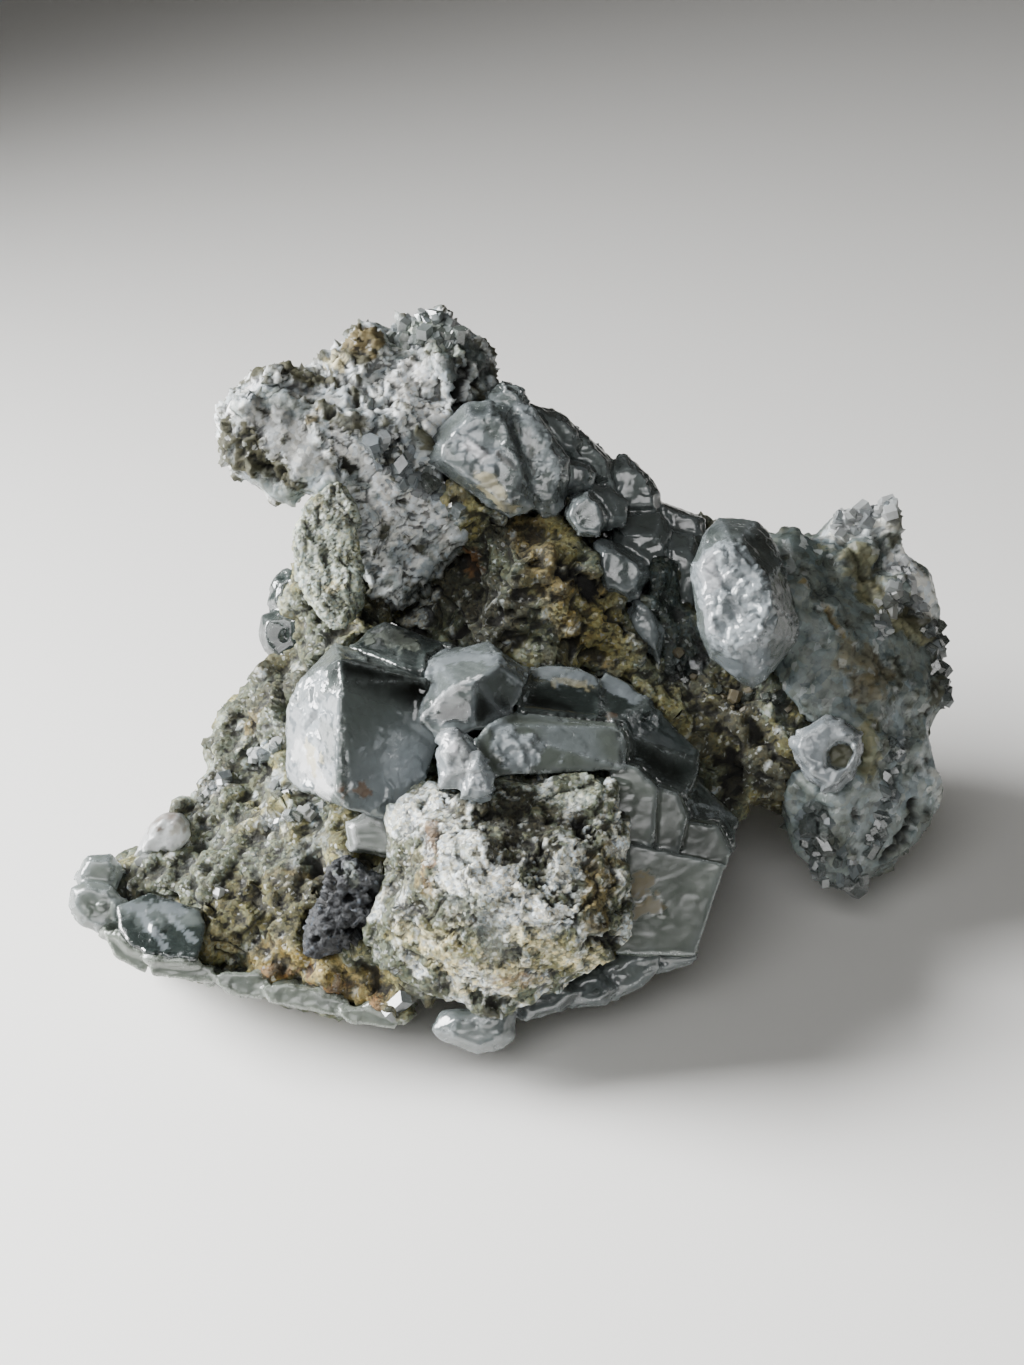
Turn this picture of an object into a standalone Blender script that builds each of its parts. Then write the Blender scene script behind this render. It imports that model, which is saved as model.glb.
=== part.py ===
"""Calcite with graphite, a hand-sized mineral specimen.

Grey-green calcite crystals, white massive calcite and a patch of graphite sit on a yellow-green
schist, which carries them all and has the small flat spot that the specimen lies on.

Sizes are real ones in millimetres. Places are written as the specimen is seen from the front,
33 degrees above the table: (across, down, toward) on an upright sheet through its middle, where
"toward" counts from the sheet to the eye. seen() turns such a place into the part's X, Y and Z.
Rock is a union of rough chunks, worn by noise. A crystal is the solid between flat faces.
"""

import math
import random
from dataclasses import dataclass

import bmesh
import bpy
from mathutils import Matrix, Vector, noise
from mathutils.bvhtree import BVHTree

MM = 0.001
WELD = 0.0005  # corners this close are one
SLIVER = 0.002  # faces this thin are left out
GAP = 0.3  # clearance between neighbouring crystals
SEAT_GAP = 0.7  # clearance that rock is first cut back to, before its facets are set
CLOSEST_GAP = 0.25  # clearance that the facets' corners are then eased off to
EASE_STEP = 0.1
EASE_STEPS = 60

# The sheet that places are written on
EYE_ELEVATION = math.radians(33.0)
EYE_DISTANCE = 230.0
SHEET_MIDDLE = (51.2, 68.25)
SHEET_PLACE = Vector((-1.2, -2.6, 29.0))  # where its middle stands over the part's origin

# How flat a crystal's faces are made, and how rough the rock is
SAME_FACE = math.radians(13.0)
SMALLEST_FACE = 0.6
ROCK_VOXEL = 1.0
SEAT_VOXEL = 0.7


@dataclass(frozen=True)
class Form:
    """A crystal or chunk: an outline as seen, a root hidden behind it, a face raised before it."""

    outline: tuple
    toward: float = 0.0
    depth: float = 6.0
    root: float = 0.8
    rise: float = 0.0
    face: float = 0.7


@dataclass(frozen=True)
class Druse:
    """Small crystals on what faces up within a box: how many, how wide, the box's corners and a seed."""

    count: int
    radius: tuple
    low: tuple
    high: tuple
    seed: int


@dataclass(frozen=True)
class Surface:
    """The plain look of a piece."""

    colour: tuple
    roughness: float
    transmission: float = 0.0


@dataclass(frozen=True)
class Rock:
    """A rock piece: its chunks, its look, how many triangles, and how high its lumps and grain stand."""

    chunks: tuple
    surface: Surface
    triangles: int
    lumps: float
    grain: float
    seed: int
    voxel: float = ROCK_VOXEL
    druse: Druse = None


SCHIST = Surface((0.17, 0.17, 0.11), 0.9)
WHITE_CALCITE = Surface((0.62, 0.62, 0.62), 0.5)
GREY_CALCITE = Surface((0.30, 0.33, 0.32), 0.4)
DARK_CRYSTAL = Surface((0.07, 0.09, 0.09), 0.2, 0.3)
PALE_CRYSTAL = Surface((0.32, 0.37, 0.34), 0.25, 0.4)
ICE_CRYSTAL = Surface((0.50, 0.55, 0.57), 0.2, 0.4)
STAINED_CRYSTAL = Surface((0.55, 0.45, 0.33), 0.5)
GRAPHITE = Surface((0.03, 0.035, 0.045), 0.45)

# Crystals of the front, from left to right

LEFT_FRONT_CRYSTAL = (
    Form(
        (
            (33.5, 64.2, 3.0), (29.7, 68.2, 6.5), (33.9, 65.9, 11.0), (34.2, 68.3, 12.8),
            (42.6, 68.0, 8.2), (41.9, 72.0, 8.8), (43.8, 74.3, 7.8), (42.5, 79.0, 9.3),
            (38.7, 82.0, 11.0), (34.7, 80.8, 13.0), (33.5, 79.3, 13.0), (30.0, 79.2, 8.5),
            (28.6, 77.8, 6.5), (28.5, 71.0, 6.5),
        ),
        depth=13.0,
        root=0.82,
    ),
)
BACK_LEFT_CRYSTAL = (
    Form(
        (
            (35.0, 64.9, 1.0), (36.7, 63.0, -1.0), (38.5, 62.1, -2.0), (42.0, 63.2, -1.0),
            (46.3, 65.0, 1.0), (43.5, 67.0, 5.0), (40.0, 66.6, 5.5), (37.0, 74.0, 3.0),
            (46.0, 74.0, 3.0),
        ),
        depth=9.0,
        root=0.85,
    ),
)
MIDDLE_CRYSTALS = (
    Form(
        (
            (43.2, 66.0, 4.0), (44.7, 65.2, 3.0), (47.7, 64.3, 2.0), (48.8, 64.1, 2.0),
            (51.7, 66.2, 3.0), (52.8, 67.0, 4.0), (52.3, 68.6, 6.5), (50.5, 72.0, 9.0),
            (47.0, 73.2, 11.0), (43.7, 73.7, 10.5), (42.0, 72.0, 10.8), (43.7, 70.0, 10.8),
            (45.7, 68.3, 10.2), (47.7, 68.0, 10.0), (50.0, 66.6, 7.5),
        ),
        depth=12.0,
        root=0.85,
    ),
    Form(
        ((42.9, 66.0, 3.0), (44.7, 65.0, 2.0), (46.6, 65.6, 4.0), (45.2, 68.2, 8.6), (42.7, 68.6, 8.0)),
        depth=7.0,
    ),
)
DARK_PLATE_CRYSTALS = (
    Form(
        (
            (53.0, 67.0, 2.0), (54.7, 66.5, 1.0), (57.7, 66.7, 1.0), (59.7, 67.7, 1.0),
            (61.5, 72.9, 6.0), (58.0, 72.8, 7.0), (52.0, 71.2, 7.5), (51.8, 69.5, 6.5),
        ),
        depth=9.0,
        root=0.95,
    ),
    Form(
        (
            (60.5, 67.2, -1.0), (62.8, 68.3, 0.0), (64.7, 69.7, 1.0), (67.0, 72.0, 2.0),
            (70.0, 75.3, 3.0), (70.0, 76.7, 4.0), (69.2, 79.2, 4.5), (68.0, 80.0, 5.5),
            (64.7, 78.3, 6.5), (62.7, 76.3, 6.5), (61.6, 72.7, 6.0), (59.4, 69.5, 3.0),
        ),
        depth=10.0,
        root=0.92,
    ),
    Form(
        (
            (69.5, 77.6, 1.5), (71.3, 79.5, 1.5), (73.9, 81.9, 1.5), (73.2, 85.0, 2.5),
            (69.0, 82.6, 5.0), (68.3, 80.0, 5.0),
        ),
        depth=8.0,
        root=0.9,
    ),
)
PALE_PLATE_CRYSTALS = (
    Form(
        (
            (51.3, 71.5, 8.0), (55.0, 71.9, 7.5), (60.3, 72.9, 7.5), (62.0, 72.7, 7.0),
            (62.8, 74.3, 7.5), (62.5, 77.0, 9.5), (55.0, 78.0, 11.0), (48.8, 77.6, 12.0),
            (47.3, 74.3, 11.5), (49.2, 72.5, 10.5),
        ),
        depth=6.0,
        root=0.95,
    ),
    Form(((61.0, 76.0), (63.7, 76.7), (64.7, 78.3), (65.8, 78.7), (65.5, 84.5), (61.0, 84.5)), 9.2, 5.0, 0.95),
    Form(((62.0, 78.4), (65.8, 78.6), (67.8, 79.3), (68.8, 81.7), (68.0, 85.2), (62.0, 84.5)), 7.9, 6.0, 0.95),
    Form(((63.0, 81.4), (68.8, 81.7), (71.8, 82.5), (73.1, 85.1), (72.6, 87.0), (64.0, 87.0)), 6.4, 6.0, 0.95),
    Form(
        ((61.0, 83.9), (65.7, 84.4), (67.8, 85.3), (72.6, 86.4), (71.3, 91.0), (69.5, 95.6), (61.5, 95.4)),
        9.6,
        5.0,
        0.94,
    ),
)
BLOCK_TOP_CRYSTALS = (
    Form(((43.8, 73.4), (45.2, 72.8), (46.8, 73.4), (48.0, 76.0), (47.0, 79.0), (43.8, 79.0)), 14.5, 5.0, 0.8, 1.2, 0.5),
    Form(((46.4, 75.6), (47.8, 75.0), (49.4, 77.5), (49.0, 80.0), (46.0, 80.0)), 15.5, 4.0, 0.8, 0.8, 0.5),
)
BASE_FRINGE_CRYSTALS = (
    Form(
        (
            (44.0, 101.0), (51.7, 100.4), (51.6, 102.3), (51.7, 104.0), (50.0, 105.0), (47.7, 105.5),
            (45.7, 104.8), (44.0, 104.0), (43.0, 103.0),
        ),
        11.0,
        5.0,
        0.8,
        1.4,
        0.6,
    ),
    Form(((50.5, 99.5), (56.5, 98.0), (58.5, 99.0), (56.0, 101.2), (52.0, 102.2)), 9.0, 5.0, 0.8, 1.0, 0.6),
    Form(((55.0, 98.5), (60.0, 96.6), (62.0, 98.8), (60.7, 100.6), (57.0, 100.8)), 8.0, 5.0, 0.8, 1.0, 0.6),
    Form(((59.5, 96.4), (65.0, 94.9), (66.2, 96.8), (64.3, 98.7), (61.2, 100.1)), 7.0, 5.0, 0.8, 1.0, 0.6),
    Form(((64.0, 95.0), (69.7, 94.6), (69.3, 96.4), (66.0, 97.4)), 5.5, 5.0, 0.8, 0.6, 0.6),
)

# Crystals of the slab at the lower left

SLAB_TIP_CRYSTALS = (
    Form(((7.4, 87.8), (8.0, 86.4), (8.6, 85.5), (11.2, 85.3), (12.4, 87.0), (11.6, 89.4), (8.6, 90.0)), 2.0, 6.0, 0.8, 1.0),
    Form(
        ((6.8, 90.7), (7.0, 88.8), (8.6, 88.0), (11.2, 88.5), (12.6, 90.2), (12.2, 92.6), (9.6, 93.2), (7.9, 92.5)),
        3.6,
        6.0,
        0.8,
        1.0,
    ),
)
SLAB_BLUE_CRYSTALS = (
    Form(
        (
            (11.6, 90.6, 6.0), (15.0, 89.2, 5.5), (20.0, 91.0, 6.5), (20.7, 92.6, 7.5),
            (20.2, 95.0, 9.0), (19.5, 95.9, 9.2), (15.5, 95.6, 9.0), (13.0, 94.6, 8.4), (11.8, 93.0, 7.2),
        ),
        depth=5.0,
    ),
    Form(((19.2, 90.6), (19.4, 89.0), (21.2, 88.2), (22.9, 88.6), (23.1, 89.8), (21.8, 91.2)), 7.6, 4.0, 0.9, 0.7, 0.75),
)
SLAB_EDGE_PLATES = (
    Form(((10.2, 92.9), (13.4, 94.2), (15.0, 96.0), (14.6, 97.4), (11.4, 95.7)), 6.0, 6.0),
    Form(((14.6, 95.8), (20.5, 96.4), (21.6, 96.6), (21.4, 98.4), (18.0, 98.0), (15.3, 97.5)), 8.6, 6.0),
    Form(((20.8, 97.2), (26.0, 97.2), (26.9, 98.2), (26.3, 99.9), (22.8, 99.4)), 9.0, 6.0),
    Form(((26.0, 98.6), (29.0, 98.4), (34.4, 99.8), (35.1, 100.4), (34.7, 101.7), (30.0, 101.2), (26.8, 100.2)), 9.6, 6.0),
    Form(((33.8, 100.8), (37.0, 100.6), (40.0, 101.8), (39.6, 102.9), (37.0, 102.7), (34.6, 102.2)), 10.0, 6.0),
)
SLAB_PALE_CRYSTAL = (
    Form(
        ((34.4, 82.1), (37.0, 81.4), (38.6, 82.0), (39.6, 83.6), (39.3, 85.8), (37.0, 85.6), (34.9, 85.1)),
        8.6,
        5.0,
        0.8,
        1.0,
        0.75,
    ),
)
ORANGE_STAINED_CRYSTAL = (
    Form(
        ((13.4, 85.6), (13.9, 84.3), (15.0, 82.4), (16.5, 81.4), (18.0, 81.4), (18.8, 82.2), (18.9, 83.6), (17.4, 85.4)),
        0.0,
        5.0,
        0.85,
        1.6,
        0.7,
    ),
)
LEFT_EDGE_CRYSTALS = (
    Form(((26.6, 60.4), (27.4, 57.8), (28.6, 56.9), (31.0, 57.5), (31.5, 62.0), (28.0, 62.6)), -10.0, 8.0, 0.8, 1.5, 0.6),
    Form(((25.8, 63.3), (26.1, 61.5), (28.0, 60.8), (31.0, 61.5), (31.0, 66.2), (28.2, 67.0), (26.2, 64.9)), -9.0, 8.0, 0.8, 1.5),
)

# Crystals of the arm, the recess and the right side

ARM_CRYSTALS = (
    Form(
        (
            (46.4, 40.2), (49.0, 40.0), (50.9, 40.8), (52.2, 43.7), (53.3, 46.5), (53.6, 49.0),
            (53.2, 51.0), (51.0, 51.9), (49.2, 50.6), (45.0, 47.2), (42.5, 46.1), (42.6, 44.1), (45.0, 42.4),
        ),
        -2.0,
        9.0,
        0.8,
        2.4,
        0.72,
    ),
    Form(
        (
            (50.6, 40.5), (52.2, 40.1), (53.5, 40.9), (55.9, 43.9), (57.0, 45.8), (57.1, 47.7),
            (56.2, 50.6), (55.5, 51.6), (54.2, 51.9), (53.0, 51.0), (52.0, 46.0),
        ),
        -3.5,
        9.0,
        0.8,
        2.2,
        0.6,
    ),
    Form(((48.2, 39.6), (50.3, 38.0), (52.1, 38.7), (53.1, 40.4), (51.4, 41.6), (49.0, 41.2)), -4.5, 6.0, 0.8, 1.4, 0.6),
    Form(((56.0, 45.6), (59.0, 46.5), (59.6, 47.5), (58.8, 48.8), (56.2, 49.4)), -6.0, 5.0, 0.8, 1.2, 0.6),
)
BUTTON_CRYSTAL = (
    Form(((57.3, 49.8), (58.8, 49.3), (59.9, 50.1), (60.8, 51.8), (59.9, 53.6), (57.8, 53.5), (56.4, 51.6)), -1.6, 7.0, 0.9, 1.4, 0.82),
)
RIDGE_CRYSTALS = (
    Form(((52.5, 40.5), (55.8, 41.1), (56.8, 41.7), (58.6, 44.0), (58.5, 46.5), (54.5, 44.0)), -9.5, 9.0, 0.85, 2.0, 0.6),
    Form(((56.8, 41.8), (59.1, 43.6), (61.3, 46.0), (62.0, 49.5), (57.5, 48.0)), -10.5, 9.0, 0.85, 2.0, 0.6),
    Form(
        ((60.5, 46.4), (62.3, 45.5), (63.3, 46.0), (65.2, 47.8), (66.1, 49.4), (66.3, 52.0), (61.5, 52.0)),
        -12.0,
        9.0,
        0.85,
        2.0,
        0.6,
    ),
    Form(((65.6, 50.0), (67.0, 50.4), (68.6, 50.8), (70.5, 51.8), (71.0, 54.5), (66.5, 54.5)), -13.0, 8.0, 0.85, 1.5, 0.6),
    Form(((57.0, 48.9), (58.6, 48.5), (61.2, 48.7), (62.9, 50.2), (62.6, 52.6), (58.0, 53.0)), -6.6, 6.0, 0.85, 1.0, 0.6),
    Form(((61.2, 51.4), (66.1, 51.2), (67.2, 53.0), (67.4, 60.0), (66.6, 66.5), (63.5, 64.5), (61.0, 58.0)), -9.6, 9.0, 0.85, 2.2, 0.66),
    Form(((66.6, 52.8), (69.4, 53.4), (70.3, 56.0), (69.4, 63.0), (67.6, 66.8), (66.4, 62.0)), -10.4, 8.0, 0.85, 2.0, 0.66),
    # The root that they share
    Form(((55.5, 44.5), (60.0, 47.0), (66.0, 51.5), (69.5, 54.5), (67.5, 61.0), (62.0, 57.0), (57.5, 50.0)), -14.5, 4.0, 0.9),
)
RECESS_CRYSTALS = (
    Form(
        (
            (59.4, 54.2), (60.8, 53.9), (63.1, 55.1), (64.5, 56.2), (64.9, 57.4), (64.0, 59.6),
            (62.8, 60.3), (60.4, 59.3), (59.6, 57.0),
        ),
        -5.0,
        7.0,
        0.85,
        1.8,
        0.68,
    ),
    Form(((63.4, 59.6), (64.6, 60.2), (65.6, 61.6), (66.3, 63.0), (66.0, 66.4), (64.2, 64.6), (62.8, 61.6)), -6.0, 6.0, 0.85, 1.6, 0.6),
)
BRIGHT_CRYSTAL = (
    Form(
        (
            (69.0, 58.3, 2.0), (68.9, 57.0, 1.6), (69.7, 55.0, 1.0), (70.4, 53.2, -0.5), (71.9, 51.7, -2.5),
            (73.8, 51.7, -3.0), (75.8, 52.1, -3.0), (77.0, 53.2, -2.0), (78.5, 56.2, 0.0), (79.6, 60.3, 1.5),
            (80.0, 62.5, 2.0), (79.9, 64.1, 2.2), (78.6, 65.2, 2.4), (77.8, 66.8, 2.4), (76.4, 68.3, 2.2),
            (75.4, 68.9, 2.0), (73.8, 68.2, 2.0), (71.0, 65.9, 2.2), (69.9, 63.6, 2.4), (69.8, 59.4, 2.4),
            (70.1, 56.4, 5.4), (73.2, 54.4, 5.2), (76.6, 58.0, 6.4), (77.2, 60.2, 6.8), (76.2, 63.4, 7.0),
            (73.6, 65.0, 6.8), (71.0, 63.6, 6.0),
        ),
        depth=10.0,
        root=0.75,
    ),
)
KNOB_CRYSTAL = (
    Form(
        (
            (79.0, 74.0), (79.7, 73.1), (82.7, 71.4), (84.1, 71.7), (86.3, 73.3), (86.2, 75.6), (85.2, 77.8),
            (83.8, 79.3), (82.6, 79.3), (80.8, 78.1), (79.4, 75.8),
        ),
        2.0,
        8.0,
        0.8,
        2.0,
        0.78,
    ),
)
KNOB_PIT = Form(((82.4, 75.0), (83.6, 73.9), (85.2, 74.1), (85.8, 75.3), (85.2, 76.5), (83.8, 77.2), (82.4, 76.8)), 6.0, 4.2, 0.7)

# Rock and massive calcite, as chunks that run into each other

ARM_CHUNKS = (
    Form(
        (
            (20.8, 42.2, -1.0), (22.4, 39.9, -2.0), (25.6, 36.8, -4.0), (31.0, 37.3, -4.5), (26.0, 39.6, 0.5),
            (33.5, 42.0, 1.0), (32.0, 48.5, 1.0), (29.6, 51.4, -1.0), (24.6, 48.0, -1.0), (22.4, 45.4, -1.0),
            (22.6, 42.8, 0.8),
        ),
        depth=9.0,
        root=0.72,
    ),
    Form(
        (
            (30.5, 37.6, -4.5), (34.2, 34.6, -5.5), (38.0, 33.0, -6.0), (43.0, 31.8, -7.0), (46.6, 32.6, -7.5),
            (49.2, 37.0, -7.5), (48.0, 44.5, -4.5), (40.0, 42.5, 0.0), (33.5, 41.5, 0.8), (31.5, 49.0, 0.0),
            (37.0, 54.0, -1.0), (42.0, 48.0, -2.5),
        ),
        depth=11.0,
        root=0.78,
    ),
    Form(
        ((32.0, 47.5, 0.2), (36.4, 58.0, -3.5), (38.0, 60.5, -4.5), (42.0, 59.0, -4.5), (46.6, 54.6, -4.5), (42.6, 47.0, -2.0)),
        depth=10.0,
        root=0.8,
    ),
    Form(((34.2, 35.2), (35.6, 32.4), (37.8, 32.2), (39.0, 34.2), (37.0, 36.6)), -3.6, 7.0, 0.8, 1.0),
    Form(((40.0, 33.6), (41.2, 31.2), (43.6, 30.5), (45.6, 31.6), (46.0, 34.6), (42.0, 36.0)), -5.0, 7.0, 0.8, 1.0),
    Form(((45.4, 34.0), (47.6, 33.9), (49.2, 36.4), (48.6, 38.4), (45.6, 38.0)), -5.6, 6.0, 0.8, 1.0),
    Form(((43.6, 35.4), (45.8, 35.0), (46.0, 38.6), (44.2, 39.0)), -2.6, 6.0, 0.8, 1.0),
)
FLAKE_CHUNKS = (
    Form(
        (
            (29.0, 52.4), (29.9, 51.2), (32.0, 51.4), (33.0, 48.2), (34.4, 47.6), (35.2, 50.0), (35.9, 54.0),
            (36.2, 59.2), (36.5, 60.4), (35.8, 62.2), (34.4, 63.4), (32.0, 62.0), (30.0, 59.0), (29.2, 55.5),
        ),
        4.0,
        4.4,
        0.85,
    ),
)
FRONT_BLOCK_CHUNKS = (
    Form(
        (
            (40.0, 79.6, 12.0), (42.0, 78.2, 11.5), (43.7, 77.8, 11.0), (49.7, 78.2, 11.0), (55.7, 78.1, 11.0),
            (57.2, 76.2, 9.5), (60.2, 76.1, 9.0), (62.2, 78.2, 11.0), (63.2, 81.4, 12.0), (62.6, 90.0, 15.0),
            (63.4, 94.8, 15.0), (62.0, 96.4, 15.0), (57.2, 92.4, 19.0), (47.0, 89.6, 19.5), (40.2, 89.0, 16.0),
            (37.4, 93.6, 12.0), (37.0, 95.2, 11.5), (38.4, 96.8, 12.0), (43.8, 99.0, 13.5), (46.8, 101.2, 13.5),
            (51.8, 101.0, 13.5), (57.2, 98.8, 13.5), (39.0, 85.3, 13.5),
        ),
        depth=12.0,
        root=0.62,
    ),
)
RIGHT_BLOCK_CHUNKS = (
    Form(
        (
            (76.5, 53.4, -9.0), (79.7, 52.6, -9.0), (82.0, 54.2, -9.5), (86.0, 56.4, -10.0), (90.0, 58.0, -11.0),
            (94.0, 62.8, -12.0), (94.4, 67.0, -11.0), (95.3, 69.2, -11.0), (93.2, 73.8, -9.0), (88.0, 70.0, -3.5),
            (84.0, 64.0, -3.0), (80.0, 60.0, -4.0), (78.0, 68.0, -4.0), (83.0, 74.0, -1.5),
        ),
        depth=15.0,
        root=0.7,
    ),
    Form(
        (
            (79.4, 76.0, -2.0), (88.0, 70.0, -3.5), (93.4, 74.0, -8.0), (94.9, 78.4, -9.0), (94.6, 80.4, -9.0),
            (92.6, 83.8, -9.0), (88.0, 86.6, -8.0), (86.0, 88.8, -7.0), (84.6, 89.3, -6.5), (82.4, 88.8, -6.5),
            (79.8, 86.0, -6.0), (78.8, 81.0, -5.0), (84.0, 79.0, -0.5),
        ),
        depth=14.0,
        root=0.7,
    ),
    Form(
        (
            (82.2, 54.0), (82.8, 52.2), (84.6, 51.4), (87.6, 50.2), (89.0, 49.8), (90.1, 50.4), (90.1, 52.6),
            (89.5, 53.8), (89.6, 58.0), (84.0, 57.5),
        ),
        -12.0,
        6.0,
        0.85,
    ),
    Form(((89.4, 57.6), (91.4, 56.3), (93.0, 56.8), (94.2, 58.8), (94.5, 62.0), (93.0, 66.0), (89.4, 63.0)), -11.0, 6.0, 0.85),
)

# Crystals too small to be pieces of their own grow on the rock

ARM_DRUSE = Druse(14, (0.7, 1.7), (-30, 6, 30), (-4, 26, 70), 11)
RIGHT_DRUSE = Druse(14, (0.9, 2.3), (26, -6, 4), (44, 24, 60), 12)
SLAB_DRUSE = Druse(8, (0.7, 1.6), (-40, -24, 4), (-14, 4, 40), 13)

# Intergrown crystals over the back: the height of each row and its number of crystals
BACK_ROWS = ((9.0, 8), (16.0, 9), (23.0, 8), (30.0, 8))
BACK_RADIUS = (3.0, 4.8)
BACK_ARC = (math.radians(8), math.radians(150))
BACK_REACH = 70.0
BACK_SEED = 31

GRAPHITE_CHUNKS = (
    Form(
        (
            (33.3, 85.8), (36.0, 85.8), (38.3, 87.6), (38.4, 90.0), (36.6, 93.0), (35.0, 95.0), (32.0, 95.9),
            (30.2, 95.4), (30.4, 93.0), (31.4, 91.2), (32.8, 90.4),
        ),
        11.0,
        5.0,
        0.85,
        1.2,
        0.7,
    ),
)
MATRIX_CHUNKS = (
    # The recess under the arm, its granular floor and the brown block in it
    Form(
        (
            (39.0, 47.0, -9.0), (48.0, 46.5, -8.0), (51.0, 51.4, -7.5), (58.0, 53.4, -7.5), (62.0, 58.0, -8.5),
            (62.5, 66.0, -8.0), (44.0, 67.0, -9.0), (38.0, 61.0, -9.0),
        ),
        depth=16.0,
    ),
    Form(
        (
            (51.5, 52.4, -6.0), (56.0, 52.0, -6.0), (58.2, 53.6, -5.0), (59.8, 57.4, -3.5), (60.8, 60.0, -3.0),
            (62.3, 63.2, -3.0), (62.3, 65.4, -3.5), (60.0, 66.4, -3.5), (56.0, 65.4, -3.0), (54.0, 61.6, -3.0),
            (52.2, 57.8, -4.0),
        ),
        depth=10.0,
    ),
    Form(((44.0, 56.5, -7.5), (53.6, 56.5, -6.5), (56.0, 66.0, -4.5), (44.5, 67.0, -4.5)), depth=8.0),
    Form(
        ((42.6, 46.4, -3.0), (45.0, 46.4, -2.5), (48.0, 48.4, -2.5), (49.4, 51.6, -3.5), (47.6, 54.6, -5.0), (43.0, 52.0, -2.8)),
        depth=9.0,
    ),
    # The wall behind the flake and the crystals at the left edge
    Form(((29.5, 55.5, -5.0), (36.5, 53.5, -3.5), (39.0, 60.0, -4.0), (36.0, 68.0, -3.0), (28.6, 68.0, -6.0), (27.6, 61.0, -9.0)), depth=12.0),
    # The body behind the front crystals
    Form(
        (
            (29.0, 66.0, -6.0), (40.0, 65.5, -6.0), (60.0, 67.0, -6.0), (72.0, 71.0, -6.0), (74.0, 80.0, -5.0),
            (71.0, 90.0, -2.0), (62.0, 95.0, 4.0), (46.0, 97.0, 8.0), (34.0, 94.0, 6.0), (27.0, 85.0, -1.0),
        ),
        depth=24.0,
        root=0.9,
    ),
    # The left ridge, which runs down into the slab
    Form(
        (
            (21.3, 76.0, -3.0), (21.7, 73.2, -4.0), (23.4, 69.9, -5.0), (25.4, 68.3, -5.5), (28.0, 67.2, -6.0),
            (31.5, 66.0, -5.0), (33.0, 72.0, -1.0), (33.5, 80.0, 2.0), (28.0, 83.0, 1.0), (21.8, 78.2, -2.0),
        ),
        depth=15.0,
    ),
    Form(
        (
            (8.6, 88.0, 1.0), (12.5, 85.3, -1.5), (14.5, 84.6, -2.0), (17.8, 81.4, -3.0), (21.6, 77.8, -3.0),
            (33.0, 80.0, 2.0), (41.0, 84.0, 8.0), (45.0, 100.0, 11.5), (40.0, 102.4, 9.5), (34.6, 101.8, 8.0),
            (26.6, 100.0, 7.0), (21.6, 98.4, 6.4), (15.0, 97.0, 5.4), (11.5, 94.8, 4.0), (8.0, 91.6, 2.0),
        ),
        depth=11.0,
        root=0.8,
    ),
    # The rock that ties the right side to the rest
    Form(
        (
            (67.0, 64.0, -9.0), (76.5, 68.6, -5.0), (80.5, 71.4, -3.5), (81.5, 79.0, -4.0), (79.0, 81.5, -5.0),
            (74.8, 80.0, -5.0), (70.0, 77.0, -5.0), (66.0, 70.0, -7.0), (79.5, 67.0, -6.0), (83.0, 70.0, -5.0),
        ),
        depth=16.0,
        root=0.85,
    ),
    Form(((62.0, 51.5, -14.0), (70.0, 53.0, -14.0), (79.0, 54.5, -13.0), (78.0, 66.0, -8.0), (64.0, 66.0, -12.0)), depth=12.0),
)
# Chunks that are hidden from the front, by their corners' own X, Y and Z
BACK_CHUNKS = (
    ((-14, -4, 10), (-14, 16, 4), (-10, 25, 16), (-8, 24, 36), (10, 28, 34), (22, 27, 30), (34, 22, 22),
     (30, 18, 6), (12, 22, 2), (26, 2, 12), (0, 4, 40), (20, 10, 34)),
    ((-27, 2, 14), (-24, 14, 8), (-20, 20, 22), (-14, 18, 34), (-12, 0, 30)),
)
FOOT_CHUNK = ((-24, -11, 9), (-22, 12, 8), (-19, -10, -1), (-17, 12, -1), (10, -12, -1), (15, 16, -1), (2, 19, -1),
              (14, -13, 8), (19, 17, 8), (0, 22, 8))

SCHIST_FLAKE = Rock(FLAKE_CHUNKS, SCHIST, 220, lumps=0.4, grain=0.4, seed=3, voxel=0.7)
GRAPHITE_PATCH = Rock(GRAPHITE_CHUNKS, GRAPHITE, 200, lumps=0.3, grain=0.35, seed=4, voxel=0.7)
FRONT_BLOCK = Rock(FRONT_BLOCK_CHUNKS, SCHIST, 600, lumps=0.5, grain=0.6, seed=5, voxel=0.8)
CALCITE_ARM = Rock(ARM_CHUNKS, WHITE_CALCITE, 850, lumps=0.6, grain=0.8, seed=6, druse=ARM_DRUSE)
RIGHT_BLOCK = Rock(RIGHT_BLOCK_CHUNKS, GREY_CALCITE, 850, lumps=0.9, grain=0.9, seed=7, druse=RIGHT_DRUSE)
MATRIX = Rock(MATRIX_CHUNKS, SCHIST, 2900, lumps=1.2, grain=1.3, seed=8, druse=SLAB_DRUSE)


def seen(across, down, toward):
    """The part's X, Y, Z in millimetres of a place on the sheet."""
    shrink = (EYE_DISTANCE - toward) / EYE_DISTANCE
    right = (across - SHEET_MIDDLE[0]) * shrink
    up = (SHEET_MIDDLE[1] - down) * shrink
    return SHEET_PLACE + Vector((
        right,
        up * math.sin(EYE_ELEVATION) - toward * math.cos(EYE_ELEVATION),
        up * math.cos(EYE_ELEVATION) + toward * math.sin(EYE_ELEVATION),
    ))


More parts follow.
